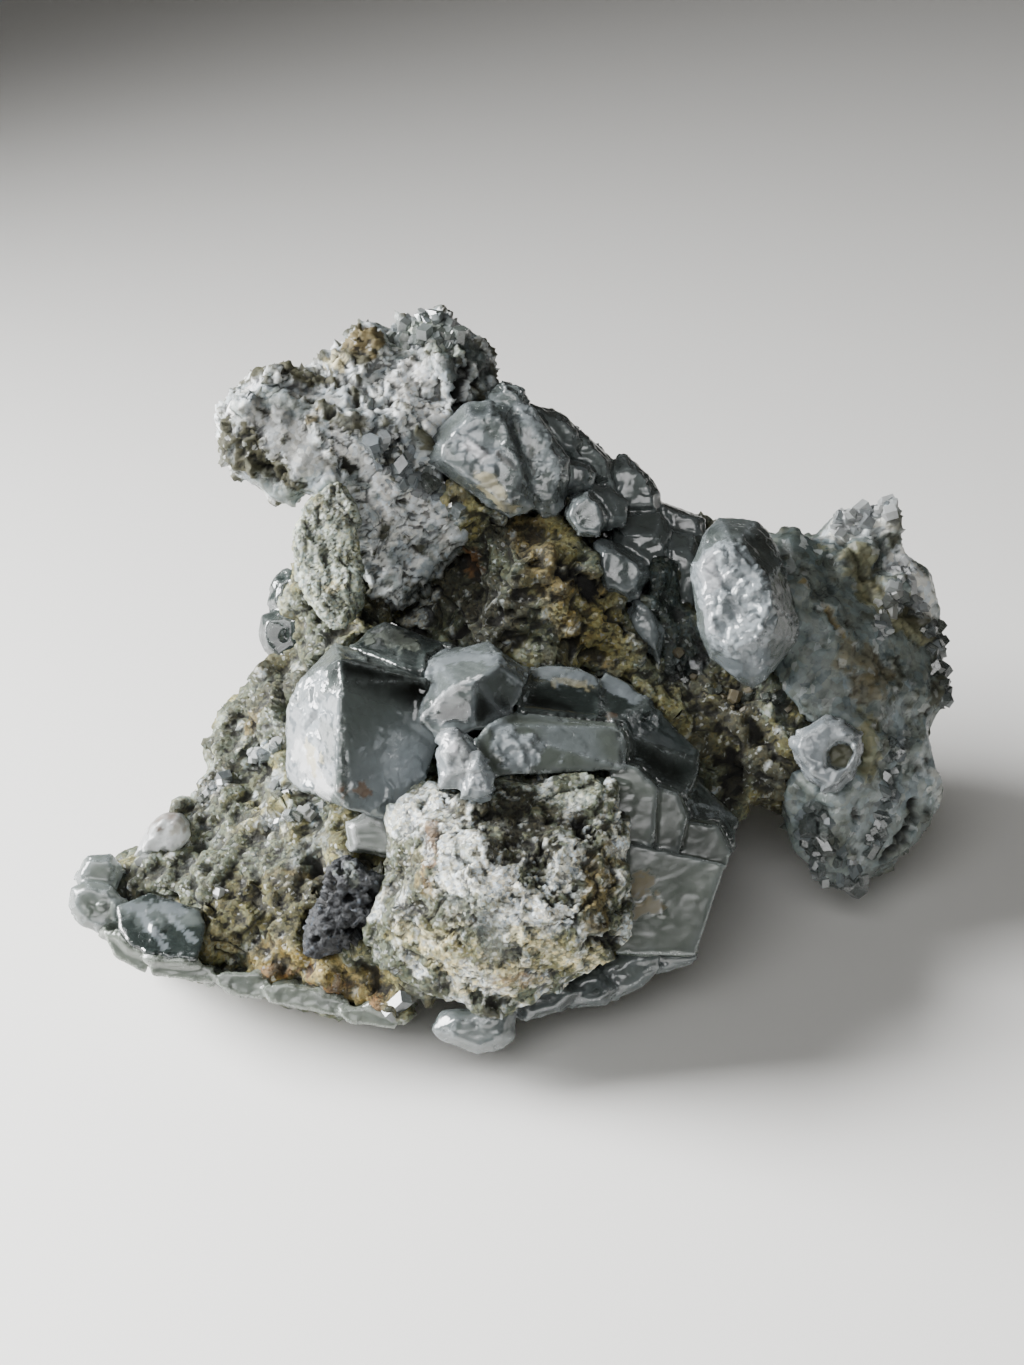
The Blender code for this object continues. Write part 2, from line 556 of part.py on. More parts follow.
def corners_of(form):
    """The corners of a form in part coordinates: its outline, its root and its raised face."""
    rim = [(*point[:2], point[2] if len(point) == 3 else form.toward) for point in form.outline]
    middle = [sum(point[axis] for point in rim) / len(rim) for axis in range(3)]

    def scaled(factor, shift):
        return [
            seen(
                middle[0] + (across - middle[0]) * factor,
                middle[1] + (down - middle[1]) * factor,
                toward + shift,
            )
            for across, down, toward in rim
        ]

    corners = scaled(1.0, 0.0) + scaled(form.root, -form.depth)
    if form.rise:
        corners += scaled(form.face, form.rise)
    return corners


def hull_of(corners):
    """The convex hull of the corners, as a closed bmesh."""
    body = bmesh.new()
    for corner in corners:
        body.verts.new(corner)
    made = bmesh.ops.convex_hull(body, input=body.verts)
    loose = {part for key in ("geom_interior", "geom_unused") for part in made[key] if isinstance(part, bmesh.types.BMVert)}
    bmesh.ops.delete(body, geom=list(loose), context="VERTS")
    bmesh.ops.recalc_face_normals(body, faces=body.faces)
    return body


def flat_faced(corners):
    """A crystal: the hull of the corners with its near-coplanar facets made single flat faces."""
    hull = hull_of(corners)
    box = box_of(hull)
    bmesh.ops.dissolve_limit(hull, angle_limit=SAME_FACE, verts=hull.verts, edges=hull.edges)
    faces = [face for face in sorted(hull.faces, key=lambda face: -face.calc_area()) if face.calc_area() > SMALLEST_FACE]
    planes = [(face.calc_center_median_weighted(), face.normal.copy()) for face in faces]
    hull.free()
    crystal = bmesh.new()
    bmesh.ops.create_cube(crystal, size=1.0)
    for vert in crystal.verts:
        for axis, (low, high) in enumerate(box):
            vert.co[axis] = (low + high) / 2 + vert.co[axis] * (high - low) * 1.02
    for place, normal in planes:
        cut = bmesh.ops.bisect_plane(
            crystal,
            geom=crystal.verts[:] + crystal.edges[:] + crystal.faces[:],
            dist=1e-4,
            plane_co=place,
            plane_no=normal,
            clear_outer=True,
        )
        rim = [part for part in cut["geom_cut"] if isinstance(part, bmesh.types.BMEdge)]
        if rim:
            bmesh.ops.contextual_create(crystal, geom=rim)
    bmesh.ops.remove_doubles(crystal, verts=crystal.verts, dist=0.02)
    bmesh.ops.recalc_face_normals(crystal, faces=crystal.faces)
    return crystal


def mesh_of(body, name="shape"):
    """The body as a mesh. The body stays."""
    mesh = bpy.data.meshes.new(name)
    body.to_mesh(mesh)
    return mesh


def modified(body, add_modifiers):
    """The body after the modifiers that add_modifiers puts on its object. The body is freed."""
    holder = bpy.data.objects.new("holder", mesh_of(body))
    body.free()
    bpy.context.scene.collection.objects.link(holder)
    add_modifiers(holder)
    evaluated = holder.evaluated_get(bpy.context.evaluated_depsgraph_get())
    result = bmesh.new()
    result.from_mesh(evaluated.to_mesh())
    evaluated.to_mesh_clear()
    mesh = holder.data
    bpy.data.objects.remove(holder)
    bpy.data.meshes.remove(mesh)
    return result


def is_closed(body):
    """Whether every edge of the body has just two faces."""
    return bool(body.faces) and all(edge.is_manifold for edge in body.edges)


def combined(body, other, operation, solvers=("EXACT", "MANIFOLD")):
    """The Boolean of two bodies, both freed. The next solver takes over where one leaves it open."""
    tool = bpy.data.objects.new("tool", mesh_of(other))
    bpy.context.scene.collection.objects.link(tool)
    volume, other_volume = body.calc_volume(), other.calc_volume()
    if operation == "UNION":
        least, most = max(volume, other_volume), volume + other_volume
    else:
        least, most = volume - other_volume, volume

    for solver in solvers:

        def add_boolean(holder, solver=solver):
            boolean = holder.modifiers.new("join", "BOOLEAN")
            boolean.operation = operation
            boolean.solver = solver
            boolean.object = tool

        result = modified(body.copy(), add_boolean)
        if is_closed(result) and least * 0.999 - 0.01 < result.calc_volume() < most * 1.001 + 0.01:
            break
    body.free()
    other.free()
    mesh = tool.data
    bpy.data.objects.remove(tool)
    bpy.data.meshes.remove(mesh)
    return result


def box_of(body):
    """The lowest and highest X, Y and Z of the body."""
    return [(min(values), max(values)) for values in zip(*(vert.co for vert in body.verts))]


def boxes_meet(one, other, margin=GAP):
    """Whether the boxes of two bodies come within the margin of each other."""
    pairs = zip(box_of(one), box_of(other))
    return all(low - margin < other_high and other_low - margin < high for (low, high), (other_low, other_high) in pairs)


def grown(body, by=GAP):
    """A copy of the body whose faces stand out by the distance."""
    copy = body.copy()
    copy.normal_update()
    moves = [vert.normal * min(vert.calc_shell_factor(), 2.5) * by for vert in copy.verts]
    for vert, move in zip(copy.verts, moves):
        vert.co += move
    return copy


def largest_piece(body):
    """Removes the crumbs that a cut left beside the body, and returns it."""
    unseen = set(body.faces)
    pieces = []
    while unseen:
        front = [unseen.pop()]
        piece = list(front)
        while front:
            for edge in front.pop().edges:
                for face in edge.link_faces:
                    if edge.is_manifold and face in unseen:
                        unseen.remove(face)
                        front.append(face)
                        piece.append(face)
        pieces.append(piece)
    pieces.sort(key=lambda faces: sum(face.calc_area() for face in faces))
    bmesh.ops.delete(body, geom=[face for piece in pieces[:-1] for face in piece], context="FACES")
    bmesh.ops.remove_doubles(body, verts=body.verts, dist=WELD)
    return body


def clear_of(body, neighbours, gap=GAP, solvers=("EXACT", "MANIFOLD")):
    """The body cut back to the gap from its neighbours."""
    for neighbour in neighbours:
        if boxes_meet(body, neighbour):
            body = combined(body, grown(neighbour, gap), "DIFFERENCE", solvers)
    return largest_piece(body)


def remeshed(body, voxel):
    """The body as one skin of small even faces, which runs overlapping chunks together."""

    def add_remesh(holder):
        remesh = holder.modifiers.new("run together", "REMESH")
        remesh.mode = "VOXEL"
        remesh.voxel_size = voxel

    return largest_piece(modified(body, add_remesh))


def faceted(body, triangles):
    """The body reduced to about so many triangles, or a few more where that leaves it closed."""
    whole = sum(len(face.verts) - 2 for face in body.faces)
    for extra in range(12):

        def add_decimate(holder, extra=extra):
            holder.modifiers.new("facet", "DECIMATE").ratio = min(1.0, triangles / whole * (1 + extra * 0.03))

        reduced = modified(body.copy(), add_decimate)
        if is_closed(reduced):
            break
    body.free()
    return reduced


def eased_off(body, neighbours):
    """Moves the body's corners away from its neighbours until no face of one crosses a face of another."""
    near = [(BVHTree.FromBMesh(other), [face.normal.copy() for face in other.faces])
            for other in neighbours if boxes_meet(body, other, SEAT_GAP)]
    for _ in range(EASE_STEPS):
        moves = {}
        own = BVHTree.FromBMesh(body)
        body.faces.ensure_lookup_table()
        for tree, normals in near:
            for vert in body.verts:
                place, normal, _, distance = tree.find_nearest(vert.co, SEAT_GAP * 4)
                if place and (vert.co - place).dot(normal) < CLOSEST_GAP:
                    moves[vert] = moves.get(vert, Vector()) + normal * (distance + CLOSEST_GAP)
            for crossed, crossing in own.overlap(tree):
                for vert in body.faces[crossed].verts:
                    moves[vert] = moves.get(vert, Vector()) + normals[crossing] * EASE_STEP
        if not moves:
            break
        for vert, move in moves.items():
            vert.co += move.normalized() * min(move.length, EASE_STEP * 3)
    return body


def seated(rock, body, neighbours):
    """Rock cut back from its neighbours, faceted, dressed with its druse and eased off once more."""
    body = clear_of(body, neighbours, SEAT_GAP, ("MANIFOLD",))
    body = faceted(remeshed(body, SEAT_VOXEL), rock.triangles)
    if rock.druse:
        body = druse_over(body, rock.druse)
    bmesh.ops.triangulate(body, faces=body.faces)
    return eased_off(body, neighbours)


def cluster(forms, neighbours=()):
    """Crystals grown together: overlapping ones are joined in one solid."""
    body = flat_faced(corners_of(forms[0]))
    for form in forms[1:]:
        body = combined(body, flat_faced(corners_of(form)), "UNION")
    return clear_of(body, neighbours)


def worn(body, lumps, grain, seed):
    """Moves the surface by wide lumps and a finer grain of noise."""
    body.normal_update()
    shift = Vector((seed * 17.3, seed * 5.1, -seed * 9.7))
    moves = []
    for vert in body.verts:
        lump = noise.fractal(vert.co / 6.0 + shift, 1.0, 2.0, 2)
        fine = noise.fractal(vert.co / 1.9 - shift, 0.8, 2.1, 3)
        moves.append(vert.normal * (lump * lumps + fine * grain))
    for vert, move in zip(body.verts, moves):
        vert.co += move
    return body


def rough(rock, more=()):
    """The chunks of a rock piece, and more bodies, run together into one rough body."""
    heap = bmesh.new()
    for body in [hull_of(corners_of(form)) for form in rock.chunks] + list(more):
        mesh = mesh_of(body)
        body.free()
        heap.from_mesh(mesh)
        bpy.data.meshes.remove(mesh)
    return worn(remeshed(heap, rock.voxel), rock.lumps, rock.grain, rock.seed)


def calcite_corners(place, axis, radius, length, spin):
    """The corners of a six-sided calcite prism with the three flat faces of its cap."""
    turn = Vector((0, 0, 1)).rotation_difference(axis).to_matrix()
    drop = 0.26 * radius
    corners = [place + turn @ Vector((0, 0, length + drop))]
    for step in range(6):
        angle = spin + step * math.pi / 3
        rim = Vector((math.cos(angle) * radius, math.sin(angle) * radius, 0))
        shoulder = length if step % 2 == 0 else length - drop
        corners += [place + turn @ rim * 0.8 + turn @ Vector((0, 0, -radius)), place + turn @ (rim + Vector((0, 0, shoulder)))]
    return corners


def scattered(host, spots, sizes, tilt, seed, sink=0.35):
    """Small calcite crystals on the host, where rays from each spot toward its aim meet it."""
    chance = random.Random(seed)
    tree = BVHTree.FromBMesh(host)
    crystals = []
    for start, aim in spots:
        start = Vector(start) + Vector([chance.uniform(-1.6, 1.6) for _ in range(3)])
        place, normal, _, _ = tree.ray_cast(start, (Vector(aim) - start).normalized())
        radius = chance.uniform(*sizes)
        length = radius * chance.uniform(0.5, 1.3)
        lean = Vector([chance.uniform(-tilt, tilt) for _ in range(3)])
        spin = chance.uniform(0, math.pi)
        if place is None:
            continue
        axis = (normal + lean).normalized()
        crystals.append(hull_of(calcite_corners(place - axis * radius * sink, axis, radius, length, spin)))
    return crystals


def fused(body, crystals):
    """The body with the crystals joined to it."""
    for crystal in crystals:
        body = combined(body, crystal, "UNION", ("MANIFOLD",))
    return body


def druse_over(host, druse):
    """Small crystals fused to the host."""
    chance = random.Random(druse.seed)
    spots = []
    for _ in range(druse.count):
        x, y = (chance.uniform(druse.low[axis], druse.high[axis]) for axis in range(2))
        spots.append(((x, y, druse.high[2]), (x, y, druse.low[2])))
    return fused(host, scattered(host, spots, druse.radius, 0.5, druse.seed))


def back_crystals_over(host):
    """Intergrown crystals fused to the back of the host, row by row."""
    spots = []
    for row, (height, count) in enumerate(BACK_ROWS):
        for step in range(count):
            angle = BACK_ARC[0] + (BACK_ARC[1] - BACK_ARC[0]) * (step + 0.5 * (row % 2)) / (count - 0.5)
            aim = Vector((4.0, 4.0, height * 0.8))
            spots.append((aim + Vector((math.cos(angle), math.sin(angle), 0.12)) * BACK_REACH, aim))
    return fused(host, scattered(host, spots, BACK_RADIUS, 0.45, BACK_SEED))


def cut_at(body, height):
    """The body without what lies below the height, closed with a flat face."""
    cut = bmesh.ops.bisect_plane(
        body,
        geom=body.verts[:] + body.edges[:] + body.faces[:],
        dist=1e-4,
        plane_co=(0, 0, height),
        plane_no=(0, 0, -1),
        clear_outer=True,
    )
    rim = [part for part in cut["geom_cut"] if isinstance(part, bmesh.types.BMEdge)]
    bmesh.ops.holes_fill(body, edges=rim)
    return body


def finished(name, body, surface, collection):
    """Sets the body down as a named object in metres with its own material."""
    body.transform(Matrix.Scale(MM, 4))
    bmesh.ops.recalc_face_normals(body, faces=body.faces)
    mesh = mesh_of(body, name)
    body.free()
    material = bpy.data.materials.new(name)
    material.use_nodes = True
    shader = material.node_tree.nodes["Principled BSDF"]
    shader.inputs["Base Color"].default_value = (*surface.colour, 1.0)
    shader.inputs["Roughness"].default_value = surface.roughness
    shader.inputs["Transmission Weight"].default_value = surface.transmission
    mesh.materials.append(material)
    piece = bpy.data.objects.new(name, mesh)
    collection.objects.link(piece)
    return piece


def crystals_of_the_front():
    """The large crystals, each cut back where an earlier one stands."""
    made = {"left_front_crystal": (cluster(LEFT_FRONT_CRYSTAL), DARK_CRYSTAL)}

    def add(name, forms, surface):
        made[name] = (cluster(forms, [body for body, _ in made.values()]), surface)

    add("pale_plate_crystals", PALE_PLATE_CRYSTALS, PALE_CRYSTAL)
    add("middle_crystals", MIDDLE_CRYSTALS, DARK_CRYSTAL)
    add("dark_plate_crystals", DARK_PLATE_CRYSTALS, DARK_CRYSTAL)
    add("back_left_crystal", BACK_LEFT_CRYSTAL, DARK_CRYSTAL)
    add("block_top_crystals", BLOCK_TOP_CRYSTALS, ICE_CRYSTAL)
    add("bright_crystal", BRIGHT_CRYSTAL, ICE_CRYSTAL)
    add("button_crystal", BUTTON_CRYSTAL, ICE_CRYSTAL)
    add("recess_crystals", RECESS_CRYSTALS, ICE_CRYSTAL)
    add("arm_crystals", ARM_CRYSTALS, ICE_CRYSTAL)
    add("ridge_crystals", RIDGE_CRYSTALS, DARK_CRYSTAL)
    add("left_edge_crystals", LEFT_EDGE_CRYSTALS, ICE_CRYSTAL)
    add("slab_tip_crystals", SLAB_TIP_CRYSTALS, PALE_CRYSTAL)
    add("slab_blue_crystals", SLAB_BLUE_CRYSTALS, PALE_CRYSTAL)
    add("slab_edge_plates", SLAB_EDGE_PLATES, PALE_CRYSTAL)
    add("slab_pale_crystal", SLAB_PALE_CRYSTAL, PALE_CRYSTAL)
    add("orange_stained_crystal", ORANGE_STAINED_CRYSTAL, STAINED_CRYSTAL)
    add("base_fringe_crystals", BASE_FRINGE_CRYSTALS, PALE_CRYSTAL)
    knob = clear_of(
        combined(flat_faced(corners_of(KNOB_CRYSTAL[0])), hull_of(corners_of(KNOB_PIT)), "DIFFERENCE"),
        [body for body, _ in made.values()],
    )
    made["knob_crystal"] = (knob, ICE_CRYSTAL)
    placed = []
    for body, _ in made.values():
        bmesh.ops.triangulate(body, faces=body.faces)
        bmesh.ops.dissolve_degenerate(body, edges=body.edges, dist=SLIVER)
        bmesh.ops.triangulate(body, faces=body.faces)
        placed.append(eased_off(largest_piece(body), placed))
    return made


def build():
    """Makes every piece and returns the collection that holds them."""
    collection = bpy.data.collections.new("calcite with graphite")
    bpy.context.scene.collection.children.link(collection)
    pieces = crystals_of_the_front()

    def add_rock(name, rock, body=None):
        neighbours = [other for other, _ in pieces.values()]
        pieces[name] = (seated(rock, body or rough(rock), neighbours), rock.surface)

    add_rock("schist_flake", SCHIST_FLAKE)
    add_rock("graphite_patch", GRAPHITE_PATCH)
    add_rock("front_rock_block", FRONT_BLOCK)
    add_rock("white_calcite_arm", CALCITE_ARM)
    add_rock("right_calcite_block", RIGHT_BLOCK)
    hidden = [hull_of([Vector(corner) for corner in corners]) for corners in (*BACK_CHUNKS, FOOT_CHUNK)]
    add_rock("matrix_rock", MATRIX, back_crystals_over(rough(MATRIX, hidden)))
    largest_piece(cut_at(pieces["matrix_rock"][0], 0.0))

    for name, (body, surface) in pieces.items():
        finished(name, body, surface, collection)
    return collection


for leftover in list(bpy.data.objects):
    bpy.data.objects.remove(leftover)
build()
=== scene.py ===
"""The looks of a hand-sized calcite with graphite specimen.

Every piece is a dense skin over its own CAD solid. A rock skin is broken up into crumbs and facets, and
a crystal skin keeps its flat faces and gets worn edges, white in places with bruising and painted highlight,
a pale rim that is partly milky and partly a painted glow, painted shade in its grooves, and etched or
wrinkled faces.
Minerals, crusts and stains, and painted shade and painted highlights, are laid on by marks. A mark is placed
as the specimen is seen from the front, 33 degrees above the table: (across, down) in millimetres on an
upright sheet through its middle.
Small crystals are then grown on the skins. Lengths are in millimetres until a mesh is done.
"""

import logging
import math
from dataclasses import dataclass
from enum import Enum
from functools import cache
from itertools import product

import bmesh
import bpy
import numpy as np
from mathutils import Matrix, Vector
from mathutils.bvhtree import BVHTree
from mathutils.kdtree import KDTree


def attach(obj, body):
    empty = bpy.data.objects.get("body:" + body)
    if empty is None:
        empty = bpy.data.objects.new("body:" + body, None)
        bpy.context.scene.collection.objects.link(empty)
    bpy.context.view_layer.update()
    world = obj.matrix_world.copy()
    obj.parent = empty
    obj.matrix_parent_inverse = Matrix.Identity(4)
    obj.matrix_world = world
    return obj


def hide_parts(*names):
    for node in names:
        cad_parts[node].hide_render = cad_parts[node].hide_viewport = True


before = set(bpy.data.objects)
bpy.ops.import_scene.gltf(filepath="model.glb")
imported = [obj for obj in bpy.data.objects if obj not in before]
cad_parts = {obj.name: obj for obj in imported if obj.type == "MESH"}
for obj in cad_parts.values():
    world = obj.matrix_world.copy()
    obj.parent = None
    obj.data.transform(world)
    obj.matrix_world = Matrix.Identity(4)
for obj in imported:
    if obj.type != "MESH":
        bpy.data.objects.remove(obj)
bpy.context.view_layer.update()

LOG = logging.getLogger("specimen")

MM = 0.001
BODY = "root"

# The sheet that marks are written on, as in the part's own frame
EYE_ELEVATION = math.radians(33.0)
EYE_DISTANCE = 230.0
SHEET_MIDDLE = (51.2, 68.25)
SHEET_PLACE = Vector((-1.2, -2.6, 29.0))
SHEET_HEIGHT = 136.5
TOWARD_EYE = Vector((0.0, -math.cos(EYE_ELEVATION), math.sin(EYE_ELEVATION)))

# How far the lowest points stay above the table in millimetres
FOOT = 0.02

Place = tuple[float, float]


def linear(code: str) -> np.ndarray:
    """Turns an sRGB colour to linear.

    Args:
        code: The colour as #rrggbb.

    Returns:
        Its three linear values.
    """
    channels = np.array([int(code[start : start + 2], 16) for start in (1, 3, 5)]) / 255.0
    return np.where(channels <= 0.04045, channels / 12.92, ((channels + 0.055) / 1.055) ** 2.4)


def smooth(values: np.ndarray, low: float, high: float) -> np.ndarray:
    """Eases values from 0 at low to 1 at high.

    Args:
        values: The values.
        low: Where 0 ends. It may be above high, for a fall.
        high: Where 1 begins.

    Returns:
        The eased values.
    """
    share = np.clip((values - low) / (high - low), 0.0, 1.0)
    return share * share * (3.0 - 2.0 * share)


def scatter(cells: np.ndarray, seed: int) -> np.ndarray:
    """Gives each whole-numbered cell three repeatable numbers from 0 to 1.

    Args:
        cells: Cells, N by 3.
        seed: Which set of numbers.

    Returns:
        The numbers, N by 3.
    """
    mixed = cells[:, 0] * 374761393 + cells[:, 1] * 668265263 + cells[:, 2] * 1440662683 + seed * 974634777
    numbers = np.empty(cells.shape)
    for axis in range(3):
        mixed = (mixed ^ (mixed >> 15)) * 2246822519 & 0xFFFFFFFF
        mixed = (mixed ^ (mixed >> 13)) * 3266489917 & 0xFFFFFFFF
        numbers[:, axis] = ((mixed ^ (mixed >> 16)) & 0xFFFFFF) / 0x1000000
    return numbers


def noise(points: np.ndarray, size: float, seed: int, octaves: int = 1) -> np.ndarray:
    """Soft noise.

    Args:
        points: Where it is read, N by 3, in millimetres.
        size: The width of its widest swells in millimetres.
        seed: Which noise.
        octaves: How many finer layers it has, each half as wide and half as high.

    Returns:
        Heights of about -1 to 1.
    """
    total = np.zeros(len(points))
    for octave in range(octaves):
        place = points / size * 2**octave
        corner = np.floor(place).astype(np.int64)
        share = place - corner
        share = share * share * share * (share * (share * 6 - 15) + 10)
        layer = np.zeros(len(points))
        for step in product((0, 1), repeat=3):
            weight = np.prod(np.where(np.array(step), share, 1 - share), axis=1)
            layer += weight * scatter(corner + np.array(step), seed + octave)[:, 0]
        total += (layer * 2 - 1) / 2**octave
    return total


@dataclass
class Cells:
    """Random cells, like the grains of a broken rock.

    Attributes:
        offset: From the cell's seed to each point, in cell widths.
        chance: Three numbers from 0 to 1 for each point's cell.
        border: How far each point is from its cell's border, in cell widths.
    """

    offset: np.ndarray
    chance: np.ndarray
    border: np.ndarray

    @classmethod
    def at(cls, points: np.ndarray, size: float, seed: int) -> "Cells":
        """Finds each point's cell.

        Args:
            points: Points, N by 3.
            size: The cells' width in millimetres.
            seed: Which cells.

        Returns:
            The cells.
        """
        place = points / size
        corner = np.floor(place).astype(np.int64)
        nearest, second = np.full(len(points), 9.0), np.full(len(points), 9.0)
        offset, owner = np.zeros_like(place), np.zeros_like(corner)
        for step in product((-1, 0, 1), repeat=3):
            cell = corner + np.array(step)
            delta = place - cell - scatter(cell, seed)
            distance = (delta**2).sum(axis=1)
            nearer = distance < nearest
            second = np.where(nearer, nearest, np.minimum(second, distance))
            nearest = np.where(nearer, distance, nearest)
            offset[nearer] = delta[nearer]
            owner[nearer] = cell[nearer]
        return cls(offset, scatter(owner, seed + 101), np.sqrt(second) - np.sqrt(nearest))

    def facets(self) -> np.ndarray:
        """Heights of -1 to 1 that make each cell a flat, tilted facet with a step at its border."""
        tilt = self.chance - 0.5
        tilt /= np.linalg.norm(tilt, axis=1, keepdims=True) + 1e-9
        return np.clip((self.offset * tilt).sum(axis=1) * 1.3 + (self.chance[:, 0] - 0.5) * 0.9, -1, 1)


@dataclass(frozen=True)
class Look:
    """What a mineral shows.

    Attributes:
        colour: Its sRGB colour.
        gloss: From 0, dull, to 1, glassy.
        relief: How rough it stands, 1 for broken rock.
        sparkle: The share of bright cleavage faces in it.
        sink: How far it lies back from the rest in millimetres.
    """

    colour: str
    gloss: float = 0.2
    relief: float = 1.0
    sparkle: float = 0.2
    sink: float = 0.0


class Mineral(Enum):
    """The minerals, crusts and stains of the specimen, and two painted looks: SHADE, a painted shade, and GLARE, a
    painted highlight.
    """

    SCHIST = Look("#505545", 0.15, 1.0, 0.2)
    YELLOW_SCHIST = Look("#7f7a50", 0.15, 0.9, 0.12)
    BROWN_SCHIST = Look("#665b3a", 0.1, 0.9, 0.05)
    DARK_SCHIST = Look("#3a392d", 0.1, 1.1, 0.14, 0.12)
    OCHRE = Look("#7c6c3b", 0.15, 0.8, 0.08)
    RUST = Look("#694a2a", 0.15, 0.8, 0.06)
    OLIVE = Look("#4f4c2b", 0.15, 1.0, 0.08)
    OLIVE_CRUST = Look("#3c3b27", 0.15, 1.3, 0.12, -0.25)
    MICA = Look("#969e92", 0.7, 0.8, 0.8)
    SUGARY = Look("#d3d7d7", 0.55, 1.0, 0.6)
    WHITE = Look("#eceeee", 0.55, 0.4, 0.3)
    ROSY = Look("#989a99", 0.6, 0.12, 0.05)
    ICE = Look("#969fa4", 0.88, 0.3, 0.25)
    GREY = Look("#6c7472", 0.85, 0.25, 0.12)
    DARK_GREY = Look("#333b39", 0.85, 0.2, 0.08)
    PALE = Look("#6c746d", 0.7, 0.1, 0.04)
    # Wrinkled, foil-like crystal face: real wrinkle relief, with a light silvery colour that is painted sheen standing
    # in for reflected light
    FOIL = Look("#b4bec3", 0.72, 2.2, 1.0)
    # Painted highlight: a near-white glossy patch laid where the window's glare falls on a facet
    GLARE = Look("#f6f7fb", 0.95, 0.0, 0.0)
    GREEN_BLACK = Look("#0b100f", 0.9, 0.05, 0.0)
    CREAM = Look("#cfc69f", 0.4, 0.6, 0.2)
    GRAPHITE = Look("#171b20", 0.55, 0.9, 0.12)
    # Painted shade: a near-black colour laid in holes and crevices, which are also sunk 1.3 mm
    SHADE = Look("#1a1912", 0.05, 1.2, 0.0, 1.3)


@dataclass(frozen=True)
class Mark:
    """A stretch of one mineral on a skin; SHADE and GLARE marks lay painted shade and a painted highlight instead.

    Attributes:
        mineral: What it is.
        path: Its middle line on the sheet, as one or more places.
        width: Its half width in millimetres.
        strength: How fully it covers, from 0 to 1.
        ragged: How far noise moves its border, as a share of the width.
        soft: The share of the width over which it fades.
        one_face: Whether it stays on the flat face that its first place lies on.
    """

    mineral: Mineral
    path: tuple[Place, ...]
    width: float
    strength: float = 1.0
    ragged: float = 0.6
    soft: float = 0.3
    one_face: bool = False


def on_sheet(across: float, down: float, toward: float = 0.0) -> Vector:
    """Turns a place on the sheet to the part's X, Y and Z.

    Args:
        across: Millimetres from the sheet's left edge.
        down: Millimetres from its top edge.
        toward: Millimetres from the sheet toward the eye.

    Returns:
        The point in millimetres.
    """
    shrink = (EYE_DISTANCE - toward) / EYE_DISTANCE
    right = (across - SHEET_MIDDLE[0]) * shrink
    up = (SHEET_MIDDLE[1] - down) * shrink
    rise = Vector((right, up * math.sin(EYE_ELEVATION), up * math.cos(EYE_ELEVATION)))
    return SHEET_PLACE + rise + TOWARD_EYE * toward


class Solid:
    """A CAD node's own flat faces in millimetres, for finding places on it."""

    def __init__(self, node: str) -> None:
        """Reads the node.

        Args:
            node: The CAD node's name.
        """
        self.shape = bmesh.new()
        self.shape.from_mesh(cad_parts[node].data)
        self.shape.transform(Matrix.Scale(1 / MM, 4))
        bmesh.ops.remove_doubles(self.shape, verts=self.shape.verts, dist=0.002)
        self.tree = BVHTree.FromBMesh(self.shape)

    def flattened(self, angle: float) -> "Solid":
        """Joins the facets of each flat face to one, and returns the solid.

        Args:
            angle: How far in radians the facets of one face may turn.
        """
        bmesh.ops.dissolve_limit(self.shape, angle_limit=angle, verts=self.shape.verts, edges=self.shape.edges)
        self.shape.faces.index_update()
        self.tree = BVHTree.FromBMesh(self.shape)
        return self

    def under(self, place: Place) -> tuple[Vector, int]:
        """Finds where the solid is seen at a place on the sheet, or the nearest point to that.

        Args:
            place: The place on the sheet.

        Returns:
            The point, and the number of its face.
        """
        eye = SHEET_PLACE + TOWARD_EYE * EYE_DISTANCE
        hit, _, number, _ = self.tree.ray_cast(eye, (on_sheet(*place) - eye).normalized())
        if hit is None:
            hit, _, number, _ = self.tree.find_nearest(on_sheet(*place, 0.0))
        return hit, number

    def edge_tree(self, angle: float, spacing: float = 0.12) -> KDTree:
        """Points along the outward edges where faces turn by more than the angle.

        Args:
            angle: The least turn in radians, or below 0 for the inward edges that turn by more than it.
            spacing: Millimetres between points.

        Returns:
            The points, ready for finding the nearest.
        """
        points = []
        for edge in self.shape.edges:
            turn = edge.calc_face_angle_signed(0.0) if edge.is_manifold else 0.0
            if turn * math.copysign(1, angle) > abs(angle):
                start, end = (vert.co for vert in edge.verts)
                steps = max(1, int(edge.calc_length() / spacing))
                points += [start.lerp(end, step / steps) for step in range(steps + 1)]
        tree = KDTree(len(points) + 1)
        for index, point in enumerate([*points, Vector((0.0, 0.0, 1e4))]):
            tree.insert(point, index)
        tree.balance()
        return tree


@cache
def solid_of(node: str) -> Solid:
    """The solid of a CAD node, read once."""
    return Solid(node)


